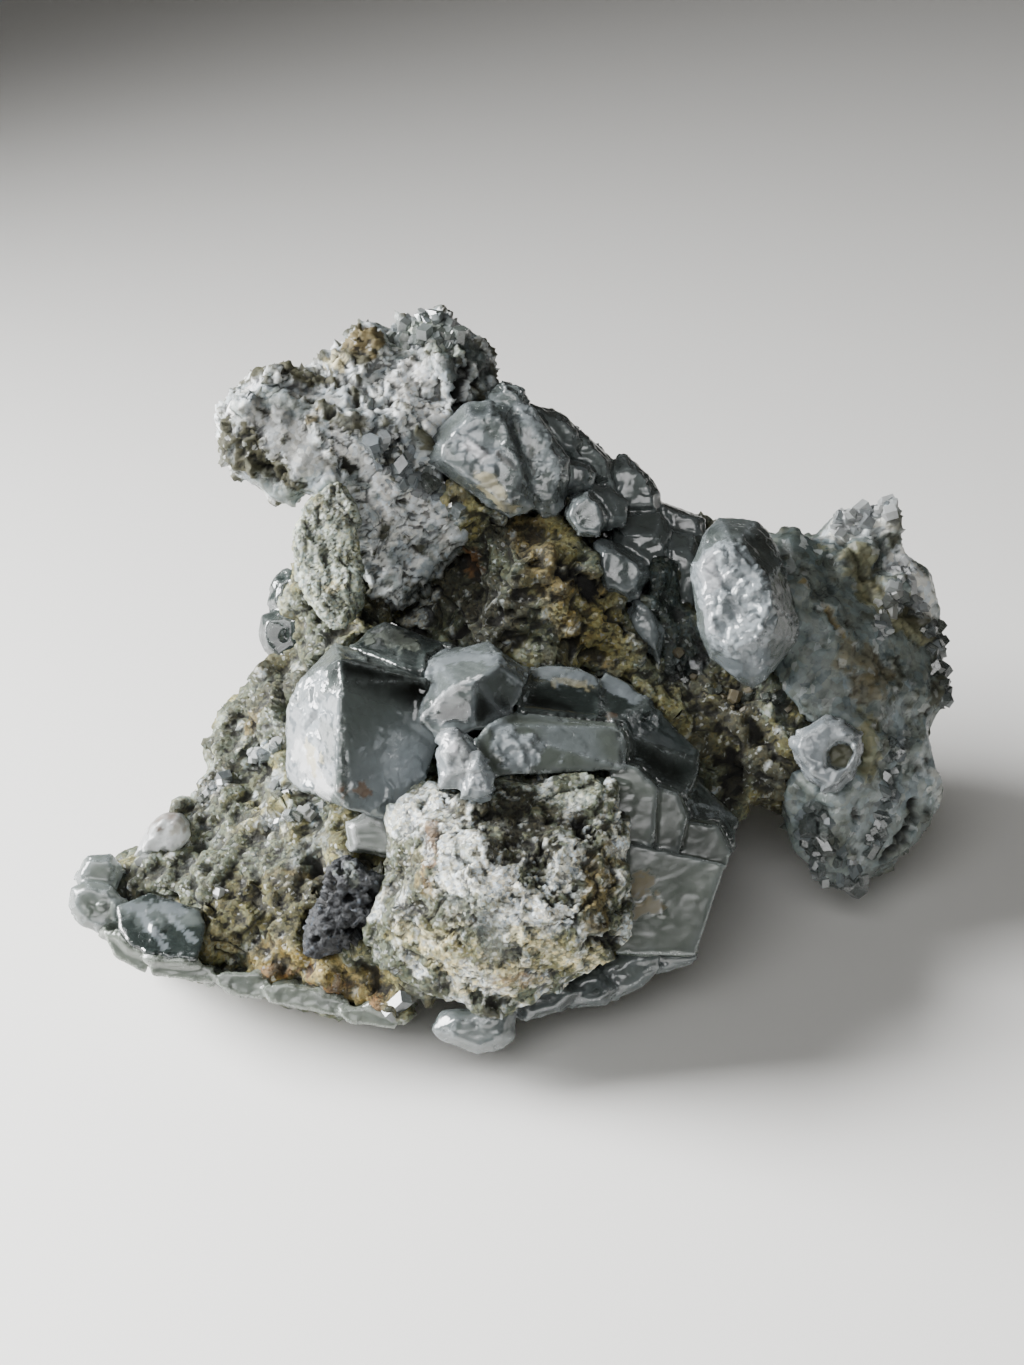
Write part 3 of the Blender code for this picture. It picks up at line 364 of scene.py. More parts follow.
class Skin:
    """A dense skin of small even faces over a CAD node, with what its minerals show at each point.

    Attributes:
        points: The points in millimetres, N by 3.
        normals: Their normals.
        colour: Their linear colours.
        gloss: Their gloss, from 0 to 1.
        sparkle: Their share of cleavage faces.
        relief: How rough they stand.
        sink: How far they lie back in millimetres.
        hollow: From 0 on a crest to 1 in a hollow.
        edge: From 1 on a crystal's edge to 0 on its faces.
        grain: A number from 0 to 1 for the grain that each point is in.
    """

    def __init__(self, node: str, voxel: float, ground: Mineral) -> None:
        """Makes the skin over the node.

        Args:
            node: The CAD node's name.
            voxel: The width of its faces in millimetres.
            ground: The mineral that it is all made of at first.
        """
        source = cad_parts[node].data.copy()
        source.transform(Matrix.Scale(1 / MM, 4))
        holder = bpy.data.objects.new("holder", source)
        bpy.context.scene.collection.objects.link(holder)
        remesh = holder.modifiers.new("skin", "REMESH")
        remesh.mode = "VOXEL"
        remesh.voxel_size = voxel * 1.0
        shown = holder.evaluated_get(bpy.context.evaluated_depsgraph_get())
        self.mesh = bpy.data.meshes.new_from_object(shown)
        bpy.data.objects.remove(holder)
        bpy.data.meshes.remove(source)
        self.mesh.materials.clear()
        self.edges = np.empty(len(self.mesh.edges) * 2, np.int64)
        self.mesh.edges.foreach_get("vertices", self.edges)
        self.edges = self.edges.reshape(-1, 2)
        self.points = np.empty(len(self.mesh.vertices) * 3, np.float32)
        self.mesh.vertices.foreach_get("co", self.points)
        self.points = self.points.reshape(-1, 3).astype(float)
        self.ways = np.bincount(self.edges.ravel(), minlength=len(self.points)).clip(1)
        look = ground.value
        self.colour = np.tile(linear(look.colour), (len(self.points), 1))
        self.gloss = np.full(len(self.points), look.gloss)
        self.sparkle = np.full(len(self.points), look.sparkle)
        self.relief = np.full(len(self.points), look.relief)
        self.sink = np.full(len(self.points), look.sink)
        self.hollow = np.full(len(self.points), 0.5)
        self.edge = np.zeros(len(self.points))
        self.grain = Cells.at(self.points, 0.7, 977).chance[:, 0]
        self.refresh()

    def refresh(self) -> None:
        """Writes the points to the mesh and reads its normals again."""
        self.mesh.vertices.foreach_set("co", self.points.astype(np.float32).ravel())
        self.mesh.update()
        normals = np.empty(len(self.points) * 3, np.float32)
        self.mesh.vertex_normals.foreach_get("vector", normals)
        self.normals = normals.reshape(-1, 3).astype(float)

    def around(self, values: np.ndarray) -> np.ndarray:
        """The mean of each point's neighbours.

        Args:
            values: One row for each point.

        Returns:
            The means, in the same shape.
        """
        rows = values.reshape(len(values), -1)
        ends = self.edges[:, ::-1].ravel()
        starts = self.edges.ravel()
        total = [np.bincount(starts, rows[ends, column], len(rows)) for column in range(rows.shape[1])]
        return (np.array(total) / self.ways).T.reshape(values.shape)

    def soften(self, rounds: int) -> None:
        """Smooths the facets of the solid away.

        Args:
            rounds: How many times each point moves halfway to its neighbours' mean.
        """
        for _ in range(rounds):
            self.points += (self.around(self.points) - self.points) * 0.5
        self.refresh()

    def raise_by(self, heights: np.ndarray) -> None:
        """Moves each point along its normal.

        Args:
            heights: Millimetres for each point.
        """
        self.points += self.normals * heights[:, None]
        self.refresh()

    def cover(self, mineral: Mineral, weight: np.ndarray) -> None:
        """Lays a mineral on.

        Args:
            mineral: The mineral.
            weight: How fully it covers each point, from 0 to 1.
        """
        look = mineral.value
        self.colour += (linear(look.colour) - self.colour) * weight[:, None]
        for name in ("gloss", "sparkle", "relief", "sink"):
            values = getattr(self, name)
            values += (getattr(look, name) - values) * weight

    def blotch(
        self, layers: tuple[tuple[Mineral, float, float, float], ...], seed: int, bare: float = 2.0
    ) -> None:
        """Lays minerals on in blotches over all of it.

        Args:
            layers: (mineral, width in millimetres, share, strength) of each.
            seed: Which noise.
            bare: The gloss from which on a face stays clean, such as a crystal's.
        """
        rough = smooth(self.gloss, bare, bare - 0.2)
        for number, (mineral, width, share, strength) in enumerate(layers):
            spread = noise(self.points, width, seed + number * 7, 4)
            self.cover(mineral, rough * strength * smooth(spread, 0.9 - share * 1.6, 1.2 - share * 1.6))

    def near(self, line: list[Vector]) -> np.ndarray:
        """How far each point is from a line.

        Args:
            line: The line's points.

        Returns:
            The distances in millimetres.
        """
        if len(line) == 1:
            return np.linalg.norm(self.points - np.array(line[0]), axis=1)
        best = np.full(len(self.points), 1e9)
        for start, end in zip(line, line[1:]):
            base, way = np.array(start), np.array(end - start)
            share = np.clip((self.points - base) @ way / (way @ way + 1e-9), 0, 1)
            best = np.minimum(best, np.linalg.norm(self.points - base - share[:, None] * way, axis=1))
        return best

    def mask(self, mark: Mark, solid: Solid, seed: int, faces: np.ndarray | None = None) -> np.ndarray:
        """Where a mark covers the skin.

        Args:
            mark: The mark.
            solid: The CAD solid below the skin.
            seed: Which noise moves its border.
            faces: For each point the number of its flat face, if the skin has such faces.

        Returns:
            A weight from 0 to 1 for each point.
        """
        found = [solid.under(place) for place in mark.path]
        distance = self.near([point for point, _ in found])
        wander = noise(self.points, max(0.5, mark.width), seed, 4) + (self.grain - 0.5) * 0.8
        edge = mark.width * (1 + mark.ragged * wander)
        weight = mark.strength * smooth(distance, edge, edge - mark.width * max(mark.soft, 0.05))
        if mark.one_face and faces is not None:
            weight = weight * np.isin(faces, [number for _, number in found])
        return weight

    def read_hollows(self, reach: int = 3) -> None:
        """Finds crests and hollows from how far each point lies below its surroundings.

        Args:
            reach: How many rings of neighbours make the surroundings.
        """
        level = self.points
        for _ in range(reach):
            level = self.around(level)
        self.hollow = smooth(((level - self.points) * self.normals).sum(axis=1), -0.16, 0.16)

    def finish(self, name: str, material: bpy.types.Material, smooth_shaded: bool = True) -> bpy.types.Object:
        """Makes the skin an object in metres.

        Args:
            name: The object's name.
            material: Its material.
            smooth_shaded: Whether its faces are shaded as one.

        Returns:
            The object.
        """
        self.points[:, 2] = self.points[:, 2].clip(FOOT)
        self.refresh()
        mesh = self.mesh
        mesh.name = name
        tone = mesh.attributes.new("tone", "FLOAT_COLOR", "POINT")
        tone.data.foreach_set("color", np.c_[np.clip(self.colour, 0, 1), np.ones(len(self.points))].ravel())
        for label in ("gloss", "sparkle", "hollow", "edge"):
            attribute = mesh.attributes.new(label, "FLOAT", "POINT")
            attribute.data.foreach_set("value", getattr(self, label).astype(np.float32))
        mesh.transform(Matrix.Scale(MM, 4))
        mesh.shade_smooth() if smooth_shaded else mesh.shade_flat()
        mesh.materials.append(material)
        piece = bpy.data.objects.new(name, mesh)
        bpy.context.scene.collection.objects.link(piece)
        return piece


def settle(piece: bpy.types.Object, slot: str, *nodes: str) -> None:
    """Fixes a piece to the specimen.

    Args:
        piece: The piece.
        slot: The record's material slot that it belongs to. It is not used.
        *nodes: The CAD nodes that it stands for.
    """
    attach(piece, BODY)
    if nodes:
        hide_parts(*nodes)


def add_node(
    tree: bpy.types.NodeTree, kind: str, settings: dict | None = None, inputs: dict | None = None
) -> bpy.types.Node:
    """Adds a shader node.

    Args:
        tree: The material's node tree.
        kind: The node's type.
        settings: Its own settings by name.
        inputs: A value, or an output to link, for each input by name or number.

    Returns:
        The node.
    """
    node = tree.nodes.new(kind)
    for name, value in (settings or {}).items():
        setattr(node, name, value)
    for name, value in (inputs or {}).items():
        if isinstance(value, bpy.types.NodeSocket):
            tree.links.new(value, node.inputs[name])
        else:
            node.inputs[name].default_value = value
    return node


def blank(name: str) -> tuple[bpy.types.Material, bpy.types.NodeTree, bpy.types.Node]:
    """A new material.

    Args:
        name: Its name.

    Returns:
        The material, its node tree and its Principled shader.
    """
    material = bpy.data.materials.new(name)
    material.use_nodes = True
    tree = material.node_tree
    return material, tree, tree.nodes["Principled BSDF"]


def per_mm(size: float) -> float:
    """The scale at which a texture's features are so many millimetres wide."""
    return 1 / (size * MM)


@dataclass(frozen=True)
class BrokenRock:
    """Broken, granular rock: dull grains with bright cleavage faces between them, and painted shade in its hollows.

    Attributes:
        name: The material's name.
        grain: The width of its grains in millimetres.
        contrast: How much the grains differ, from 0 to 1.
        painted_hollow_shade: How much darker its hollows are painted, as painted shade, from 0 to 1.
        glow: How far light passes into it, from 0 to 1.
        relief: The height of its fine relief in millimetres.
        fleck: The sRGB colour of its clear grains.
        cool: The tint of its coolest grains.
        warm: The tint of its warmest grains.
    """

    name: str
    grain: float = 0.42
    contrast: float = 0.6
    painted_hollow_shade: float = 0.6
    glow: float = 0.0
    relief: float = 0.16
    fleck: str = "#c6cac8"
    cool: tuple[float, float, float] = (0.86, 0.96, 1.06)
    warm: tuple[float, float, float] = (1.14, 1.04, 0.78)

    def material(self) -> bpy.types.Material:
        """Builds the material and returns it."""
        material, tree, shader = blank(self.name)
        at = add_node(tree, "ShaderNodeTexCoord").outputs["Object"]
        tone = add_node(tree, "ShaderNodeAttribute", {"attribute_name": "tone"}).outputs["Color"]
        gloss, sparkle, hollow = (
            add_node(tree, "ShaderNodeAttribute", {"attribute_name": name}).outputs["Fac"]
            for name in ("gloss", "sparkle", "hollow")
        )

        # Grains bent out of round, each lighter or darker, warmer or cooler than the rest
        warp = add_node(tree, "ShaderNodeTexNoise", {}, {"Vector": at, "Scale": per_mm(0.8), "Detail": 3.0})
        bent = add_node(
            tree, "ShaderNodeMix", {"data_type": "VECTOR"}, {0: 0.0006, 4: at, 5: warp.outputs["Color"]}
        ).outputs[1]
        grains = add_node(tree, "ShaderNodeTexVoronoi", {}, {"Vector": bent, "Scale": per_mm(self.grain)})
        chance = add_node(tree, "ShaderNodeSeparateColor", {}, {"Color": grains.outputs["Color"]})
        patches = add_node(
            tree, "ShaderNodeTexNoise", {}, {"Vector": at, "Scale": per_mm(2.6), "Detail": 8.0, "Roughness": 0.72}
        )
        mixed = add_node(
            tree,
            "ShaderNodeMath",
            {"operation": "MULTIPLY_ADD"},
            {0: chance.outputs["Red"], 1: 0.4, 2: patches.outputs["Fac"]},
        )
        strength = add_node(
            tree,
            "ShaderNodeMapRange",
            {},
            {
                "Value": mixed.outputs[0],
                "From Min": 0.4,
                "From Max": 1.0,
                "To Min": 1 - self.contrast,
                "To Max": 1 + self.contrast,
            },
        )
        tint = add_node(
            tree,
            "ShaderNodeMix",
            {"data_type": "RGBA"},
            {0: chance.outputs["Blue"], 6: (*self.cool, 1.0), 7: (*self.warm, 1.0)},
        ).outputs[2]
        tinted = add_node(
            tree, "ShaderNodeMix", {"data_type": "RGBA", "blend_type": "MULTIPLY"}, {0: 1.0, 6: tone, 7: tint}
        ).outputs[2]
        varied = add_node(
            tree,
            "ShaderNodeMix",
            {"data_type": "RGBA", "blend_type": "MULTIPLY"},
            {0: 1.0, 6: tinted, 7: strength.outputs[0]},
        ).outputs[2]

        # Clear grains, which come in clusters
        often = add_node(
            tree,
            "ShaderNodeMath",
            {"operation": "MULTIPLY"},
            {0: sparkle, 1: patches.outputs["Fac"]},
        )
        clear = add_node(
            tree, "ShaderNodeMath", {"operation": "LESS_THAN"}, {0: chance.outputs["Green"], 1: often.outputs[0]}
        )
        share = add_node(tree, "ShaderNodeMath", {"operation": "MULTIPLY"}, {0: clear.outputs[0], 1: 0.33})
        flecked = add_node(
            tree,
            "ShaderNodeMix",
            {"data_type": "RGBA"},
            {0: share.outputs[0], 6: varied, 7: (*linear(self.fleck), 1.0)},
        ).outputs[2]
        # Painted shade: the colour is darkened in the hollows
        painted_hollow_shade = add_node(
            tree,
            "ShaderNodeMapRange",
            {"interpolation_type": "SMOOTHSTEP"},
            {"Value": hollow, "From Min": 0.42, "From Max": 0.95, "To Min": 1.0, "To Max": 1 - self.painted_hollow_shade},
        )
        shaded = add_node(
            tree,
            "ShaderNodeMix",
            {"data_type": "RGBA", "blend_type": "MULTIPLY"},
            {0: 1.0, 6: flecked, 7: painted_hollow_shade.outputs[0]},
        ).outputs[2]

        # Relief: each grain a tilted cleavage face, over a fine grit
        away = add_node(
            tree, "ShaderNodeVectorMath", {"operation": "SUBTRACT"}, {0: bent, 1: grains.outputs["Position"]}
        ).outputs[0]
        lean = add_node(
            tree,
            "ShaderNodeVectorMath",
            {"operation": "SUBTRACT"},
            {0: grains.outputs["Color"], 1: (0.5, 0.5, 0.5)},
        ).outputs[0]
        tilted = add_node(tree, "ShaderNodeVectorMath", {"operation": "DOT_PRODUCT"}, {0: away, 1: lean})
        facets = add_node(
            tree, "ShaderNodeMath", {"operation": "MULTIPLY"}, {0: tilted.outputs["Value"], 1: per_mm(self.grain)}
        )
        grit = add_node(
            tree, "ShaderNodeTexNoise", {}, {"Vector": at, "Scale": per_mm(0.35), "Detail": 5.0, "Roughness": 0.75}
        )
        height = add_node(
            tree,
            "ShaderNodeMath",
            {"operation": "MULTIPLY_ADD"},
            {0: facets.outputs[0], 1: 1.0, 2: grit.outputs["Fac"]},
        )
        bump = add_node(
            tree, "ShaderNodeBump", {}, {"Height": height.outputs[0], "Distance": self.relief * MM, "Strength": 1.0}
        )
        dull = add_node(tree, "ShaderNodeMapRange", {}, {"Value": gloss, "To Min": 0.85, "To Max": 0.12})
        rough = add_node(tree, "ShaderNodeMix", {}, {0: clear.outputs[0], 2: dull.outputs[0], 3: 0.2})
        tree.links.new(shaded, shader.inputs["Base Color"])
        tree.links.new(rough.outputs[0], shader.inputs["Roughness"])
        tree.links.new(bump.outputs[0], shader.inputs["Normal"])
        shader.inputs["IOR"].default_value = 1.55
        shader.inputs["Subsurface Weight"].default_value = self.glow
        shader.inputs["Subsurface Radius"].default_value = (1.0, 1.0, 1.0)
        shader.inputs["Subsurface Scale"].default_value = 0.6 * MM
        return material


@dataclass(frozen=True)
class ClearCalcite:
    """Calcite crystal: glassy faces over a milky or dark inside, with healed cracks, chips and wrinkles.

    Attributes:
        name: The material's name.
        clear: How much light goes right through, from 0 to 1.
        milk: How far light spreads inside it, from 0 to 1.
        etching: The height of the etched relief in millimetres.
        wrinkle: The height of the wrinkles where the skin sparkles, in millimetres.
        cloud: How much its inside varies, from 0 to 1.
        cracks: How white its healed cracks are, from 0 to 1.
        bruise_and_glint: How white its edges get in places, as bruising and painted edge highlight, from 0 to 1.
    """

    name: str
    clear: float = 0.2
    milk: float = 0.2
    etching: float = 0.02
    wrinkle: float = 0.25
    cloud: float = 0.25
    cracks: float = 0.5
    bruise_and_glint: float = 0.6

    def material(self) -> bpy.types.Material:
        """Builds the material and returns it."""
        material, tree, shader = blank(self.name)
        at = add_node(tree, "ShaderNodeTexCoord").outputs["Object"]
        tone = add_node(tree, "ShaderNodeAttribute", {"attribute_name": "tone"}).outputs["Color"]
        gloss, sparkle, edge = (
            add_node(tree, "ShaderNodeAttribute", {"attribute_name": name}).outputs["Fac"]
            for name in ("gloss", "sparkle", "edge")
        )
        white = (*linear("#dde3e6"), 1.0)

        # Clouds of fine inclusions
        clouds = add_node(
            tree, "ShaderNodeTexNoise", {}, {"Vector": at, "Scale": per_mm(2.2), "Detail": 8.0, "Roughness": 0.66}
        )
        strength = add_node(
            tree,
            "ShaderNodeMapRange",
            {},
            {
                "Value": clouds.outputs["Fac"],
                "From Min": 0.3,
                "From Max": 0.7,
                "To Min": 1 - self.cloud,
                "To Max": 1 + self.cloud,
            },
        )
        varied = add_node(
            tree,
            "ShaderNodeMix",
            {"data_type": "RGBA", "blend_type": "MULTIPLY"},
            {0: 1.0, 6: tone, 7: strength.outputs[0]},
        ).outputs[2]

        # Healed cracks: thin white lines that come and go
        warp = add_node(tree, "ShaderNodeTexNoise", {}, {"Vector": at, "Scale": per_mm(1.6), "Detail": 4.0})
        bent = add_node(
            tree, "ShaderNodeMix", {"data_type": "VECTOR"}, {0: 0.0014, 4: at, 5: warp.outputs["Color"]}
        ).outputs[1]
        borders = add_node(
            tree, "ShaderNodeTexVoronoi", {"feature": "DISTANCE_TO_EDGE"}, {"Vector": bent, "Scale": per_mm(2.8)}
        )
        line = add_node(
            tree,
            "ShaderNodeMapRange",
            {},
            {"Value": borders.outputs["Distance"], "From Max": 0.02, "To Min": self.cracks, "To Max": 0.0},
        )
        healed = add_node(
            tree,
            "ShaderNodeMapRange",
            {},
            {"Value": clouds.outputs["Fac"], "From Min": 0.54, "From Max": 0.62, "To Min": 0.0, "To Max": 1.0},
        )
        shown = add_node(
            tree, "ShaderNodeMath", {"operation": "MULTIPLY"}, {0: line.outputs[0], 1: healed.outputs[0]}
        )
        lined = add_node(
            tree, "ShaderNodeMix", {"data_type": "RGBA"}, {0: shown.outputs[0], 6: varied, 7: white}
        ).outputs[2]

        # Edges white in places: bruising and a painted edge highlight
        bruise_and_glint_spots = add_node(
            tree, "ShaderNodeTexNoise", {}, {"Vector": at, "Scale": per_mm(0.7), "Detail": 4.0, "Roughness": 0.7}
        )
        bruise_and_glint_breakup = add_node(
            tree,
            "ShaderNodeMapRange",
            {},
            {"Value": bruise_and_glint_spots.outputs["Fac"], "From Min": 0.46, "From Max": 0.68, "To Min": 0.0, "To Max": 1.0},
        )
        # worn: where the edges are white, by bruising and painted edge highlight
        worn = add_node(tree, "ShaderNodeMath", {"operation": "MULTIPLY"}, {0: bruise_and_glint_breakup.outputs[0], 1: edge})
        faded = add_node(tree, "ShaderNodeMath", {"operation": "MULTIPLY"}, {0: worn.outputs[0], 1: self.bruise_and_glint})
        edged = add_node(
            tree, "ShaderNodeMix", {"data_type": "RGBA"}, {0: faded.outputs[0], 6: lined, 7: white}
        ).outputs[2]

        # Fine etching all over, and foil-like tilted flakes where the skin sparkles
        flakes = add_node(tree, "ShaderNodeTexVoronoi", {}, {"Vector": bent, "Scale": per_mm(1.0)})
        away = add_node(
            tree, "ShaderNodeVectorMath", {"operation": "SUBTRACT"}, {0: bent, 1: flakes.outputs["Position"]}
        ).outputs[0]
        lean = add_node(
            tree,
            "ShaderNodeVectorMath",
            {"operation": "SUBTRACT"},
            {0: flakes.outputs["Color"], 1: (0.5, 0.5, 0.5)},
        ).outputs[0]
        tilted = add_node(tree, "ShaderNodeVectorMath", {"operation": "DOT_PRODUCT"}, {0: away, 1: lean})
        leaning = add_node(
            tree, "ShaderNodeMath", {"operation": "MULTIPLY"}, {0: tilted.outputs["Value"], 1: per_mm(1.0)}
        )
        fold = add_node(tree, "ShaderNodeMath", {"operation": "MULTIPLY"}, {0: leaning.outputs[0], 1: sparkle})
        etched = add_node(
            tree, "ShaderNodeTexNoise", {}, {"Vector": at, "Scale": per_mm(0.45), "Detail": 5.0, "Roughness": 0.65}
        )
        fine = add_node(
            tree, "ShaderNodeBump", {}, {"Height": etched.outputs["Fac"], "Distance": self.etching * MM, "Strength": 1.0}
        )
        bump = add_node(
            tree,
            "ShaderNodeBump",
            {},
            {"Height": fold.outputs[0], "Distance": self.wrinkle * MM, "Strength": 1.0, "Normal": fine.outputs[0]},
        )
        dull = add_node(tree, "ShaderNodeMapRange", {}, {"Value": gloss, "To Min": 0.7, "To Max": 0.05})
        smudged = add_node(
            tree,
            "ShaderNodeMath",
            {"operation": "MULTIPLY_ADD"},
            {0: worn.outputs[0], 1: 0.3, 2: dull.outputs[0]},
        )
        tree.links.new(edged, shader.inputs["Base Color"])
        tree.links.new(smudged.outputs[0], shader.inputs["Roughness"])
        tree.links.new(bump.outputs[0], shader.inputs["Normal"])
        shader.inputs["IOR"].default_value = 1.6
        shader.inputs["Transmission Weight"].default_value = self.clear
        shader.inputs["Specular IOR Level"].default_value = 1.0
        shader.inputs["Subsurface Weight"].default_value = self.milk
        shader.inputs["Subsurface Radius"].default_value = (1.0, 1.0, 1.0)
        shader.inputs["Subsurface Scale"].default_value = 1.2 * MM
        return material


@dataclass(frozen=True)
class PaleTable:
    """A plain pale laminate table top with a faint satin gloss.

    Attributes:
        colour: Its sRGB colour.
    """

    colour: str = "#f2f1ee"

    def material(self) -> bpy.types.Material:
        """Builds the material and returns it."""
        material, tree, shader = blank("pale_laminate_table")
        at = add_node(tree, "ShaderNodeTexCoord").outputs["Object"]
        grain = add_node(tree, "ShaderNodeTexNoise", {}, {"Vector": at, "Scale": per_mm(0.8), "Detail": 3.0})
        bump = add_node(
            tree, "ShaderNodeBump", {}, {"Height": grain.outputs["Fac"], "Distance": 0.01 * MM, "Strength": 0.4}
        )
        shader.inputs["Base Color"].default_value = (*linear(self.colour), 1.0)
        shader.inputs["Roughness"].default_value = 0.55
        tree.links.new(bump.outputs[0], shader.inputs["Normal"])
        return material


class Finish(Enum):
    """The materials of the specimen, each named for what it is."""

    # Calcite-bearing schist as the hammer left it: dull, crumbly, with small bright grains
    SCHIST = BrokenRock("broken_calcite_schist", 0.3, 0.7, 0.8, 0.0, 0.15)
    # Massive calcite: sugary white, light passes a little way in, specks of rock in it
    MASSIVE_CALCITE = BrokenRock(
        "massive_white_calcite", 0.5, 0.25, 0.75, 0.15, 0.1, cool=(0.93, 0.98, 1.03), warm=(1.05, 1.01, 0.93)
    )
    # Grey glassy calcite mass, cracked, with rock grown into it
    GREY_CALCITE = BrokenRock(
        "massive_grey_calcite", 0.8, 0.3, 0.5, 0.2, 0.08, cool=(0.93, 0.99, 1.03), warm=(1.06, 1.02, 0.92)
    )
    # Graphite: fine dark scales with a metallic glint
    GRAPHITE = BrokenRock("scaly_graphite", 0.35, 0.6, 0.7, 0.0, 0.2, "#6f7884", (0.9, 0.97, 1.1), (1.05, 1.0, 0.9))
    # Crystals full of graphite dust: near black inside, glassy faces, pale edges
    DARK_CRYSTAL = ClearCalcite("dusted_dark_calcite", 0.4, 0.0, 0.003, 0.3, 0.12, 0.0, 0.25)
    # Frosted pale green-grey crystals
    PALE_CRYSTAL = ClearCalcite("frosted_pale_calcite", 0.4, 0.25, 0.003, 0.2, 0.1, 0.0, 0.3)
    # Ice-grey crystals with wrinkled, foil-like faces
    ICE_CRYSTAL = ClearCalcite("icy_grey_calcite", 0.5, 0.1, 0.006, 0.5, 0.2, 0.25, 0.45)

    def material(self) -> bpy.types.Material:
        """The material, made at its first use."""
        return bpy.data.materials.get(self.value.name) or self.value.material()


def room_around(skin: Skin, node: str) -> np.ndarray:
    """How far each point of a skin is from the nearest other CAD node.

    Args:
        skin: The skin.
        node: The skin's own node.

    Returns:
        Millimetres, up to 2 and else 9.
    """
    room = np.full(len(skin.points), 9.0)
    for other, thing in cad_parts.items():
        corners = np.array([corner[:] for corner in thing.bound_box]) / MM
        low, high = corners.min(axis=0) - 2, corners.max(axis=0) + 2
        inside = np.flatnonzero(((skin.points > low) & (skin.points < high)).all(axis=1))
        if other == node or not len(inside):
            continue
        tree = solid_of(other).tree
        for index in inside:
            found = tree.find_nearest(Vector(skin.points[index]), 2.0)
            if found[0] is not None:
                room[index] = min(room[index], found[3])
    return room


@dataclass
class RockPiece:
    """A piece of rock or massive calcite.

    Attributes:
        node: The CAD node.
        slot: The record's material slot.
        finish: Its finish.
        ground: The mineral that it mostly is.
        voxel: The width of the skin's faces in millimetres.
        facets: (width, height) of each layer of broken facets in millimetres.
        pits: The depth of its pits in millimetres.
        leaf: The direction across which the rock is leafy. Its length over 1 is how leafy it is.
        swell: How far it stands out to meet its neighbours in millimetres.
        seed: Which noise.
        blotches: (mineral, width, share, strength) of minerals in blotches over all of it.
        specks: The same for small specks that lie over the marks as well.
        marks: The minerals laid on in places.
    """

    node: str
    slot: str
    finish: Finish
    ground: Mineral
    voxel: float = 0.3
    facets: tuple[tuple[float, float], ...] = ((3.0, 0.45), (1.3, 0.24), (0.65, 0.12))
    pits: float = 0.5
    leaf: tuple[float, float, float] = (0.3, -0.5, 0.8)
    swell: float = 0.8
    seed: int = 1
    blotches: tuple[tuple[Mineral, float, float, float], ...] = ()
    specks: tuple[tuple[Mineral, float, float, float], ...] = ()
    marks: tuple[Mark, ...] = ()

    def build(self) -> Skin:
        """Makes the skin: softened, marked with its minerals, then broken up.

        Returns:
            The skin.
        """
        solid = solid_of(self.node)
        skin = Skin(self.node, self.voxel, self.ground)
        skin.soften(3)
        skin.blotch(self.blotches, self.seed * 31)
        for number, mark in enumerate(self.marks):
            skin.cover(mark.mineral, skin.mask(mark, solid, self.seed * 53 + number))
        skin.blotch(self.specks, self.seed * 37, 0.75)
        skin.raise_by(self.swell * smooth(room_around(skin, self.node), 2.0, 0.6))
        skin.raise_by(self.relief(skin))
        skin.read_hollows()
        return skin

    def relief(self, skin: Skin) -> np.ndarray:
        """The height of the broken surface.

        Args:
            skin: The rock's skin.

        Returns:
            Millimetres for each point.
        """
        points = skin.points
        bend = [noise(points, 1.6, self.seed + step, 2) for step in (0, 3, 5)]
        leaf = np.array(self.leaf)
        bent = points + np.transpose(bend) * 0.35
        bent += (bent @ leaf)[:, None] * leaf
        height = noise(points, 4.0, self.seed + 9, 3) * 0.35
        for layer, (width, step) in enumerate(self.facets):
            height += Cells.at(bent, width, self.seed * 11 + layer).facets() * step
        pits = smooth(noise(bent, 2.4, self.seed + 21, 4), 0.4, 0.9)
        return (height - pits * self.pits) * skin.relief - skin.sink

    def dress(self, skin: Skin) -> bpy.types.Object:
        """Makes the skin an object that stands for the node.

        Args:
            skin: The skin.

        Returns:
            The object.
        """
        piece = skin.finish(f"{self.node}_skin", self.finish.material())
        settle(piece, self.slot, self.node)
        return piece


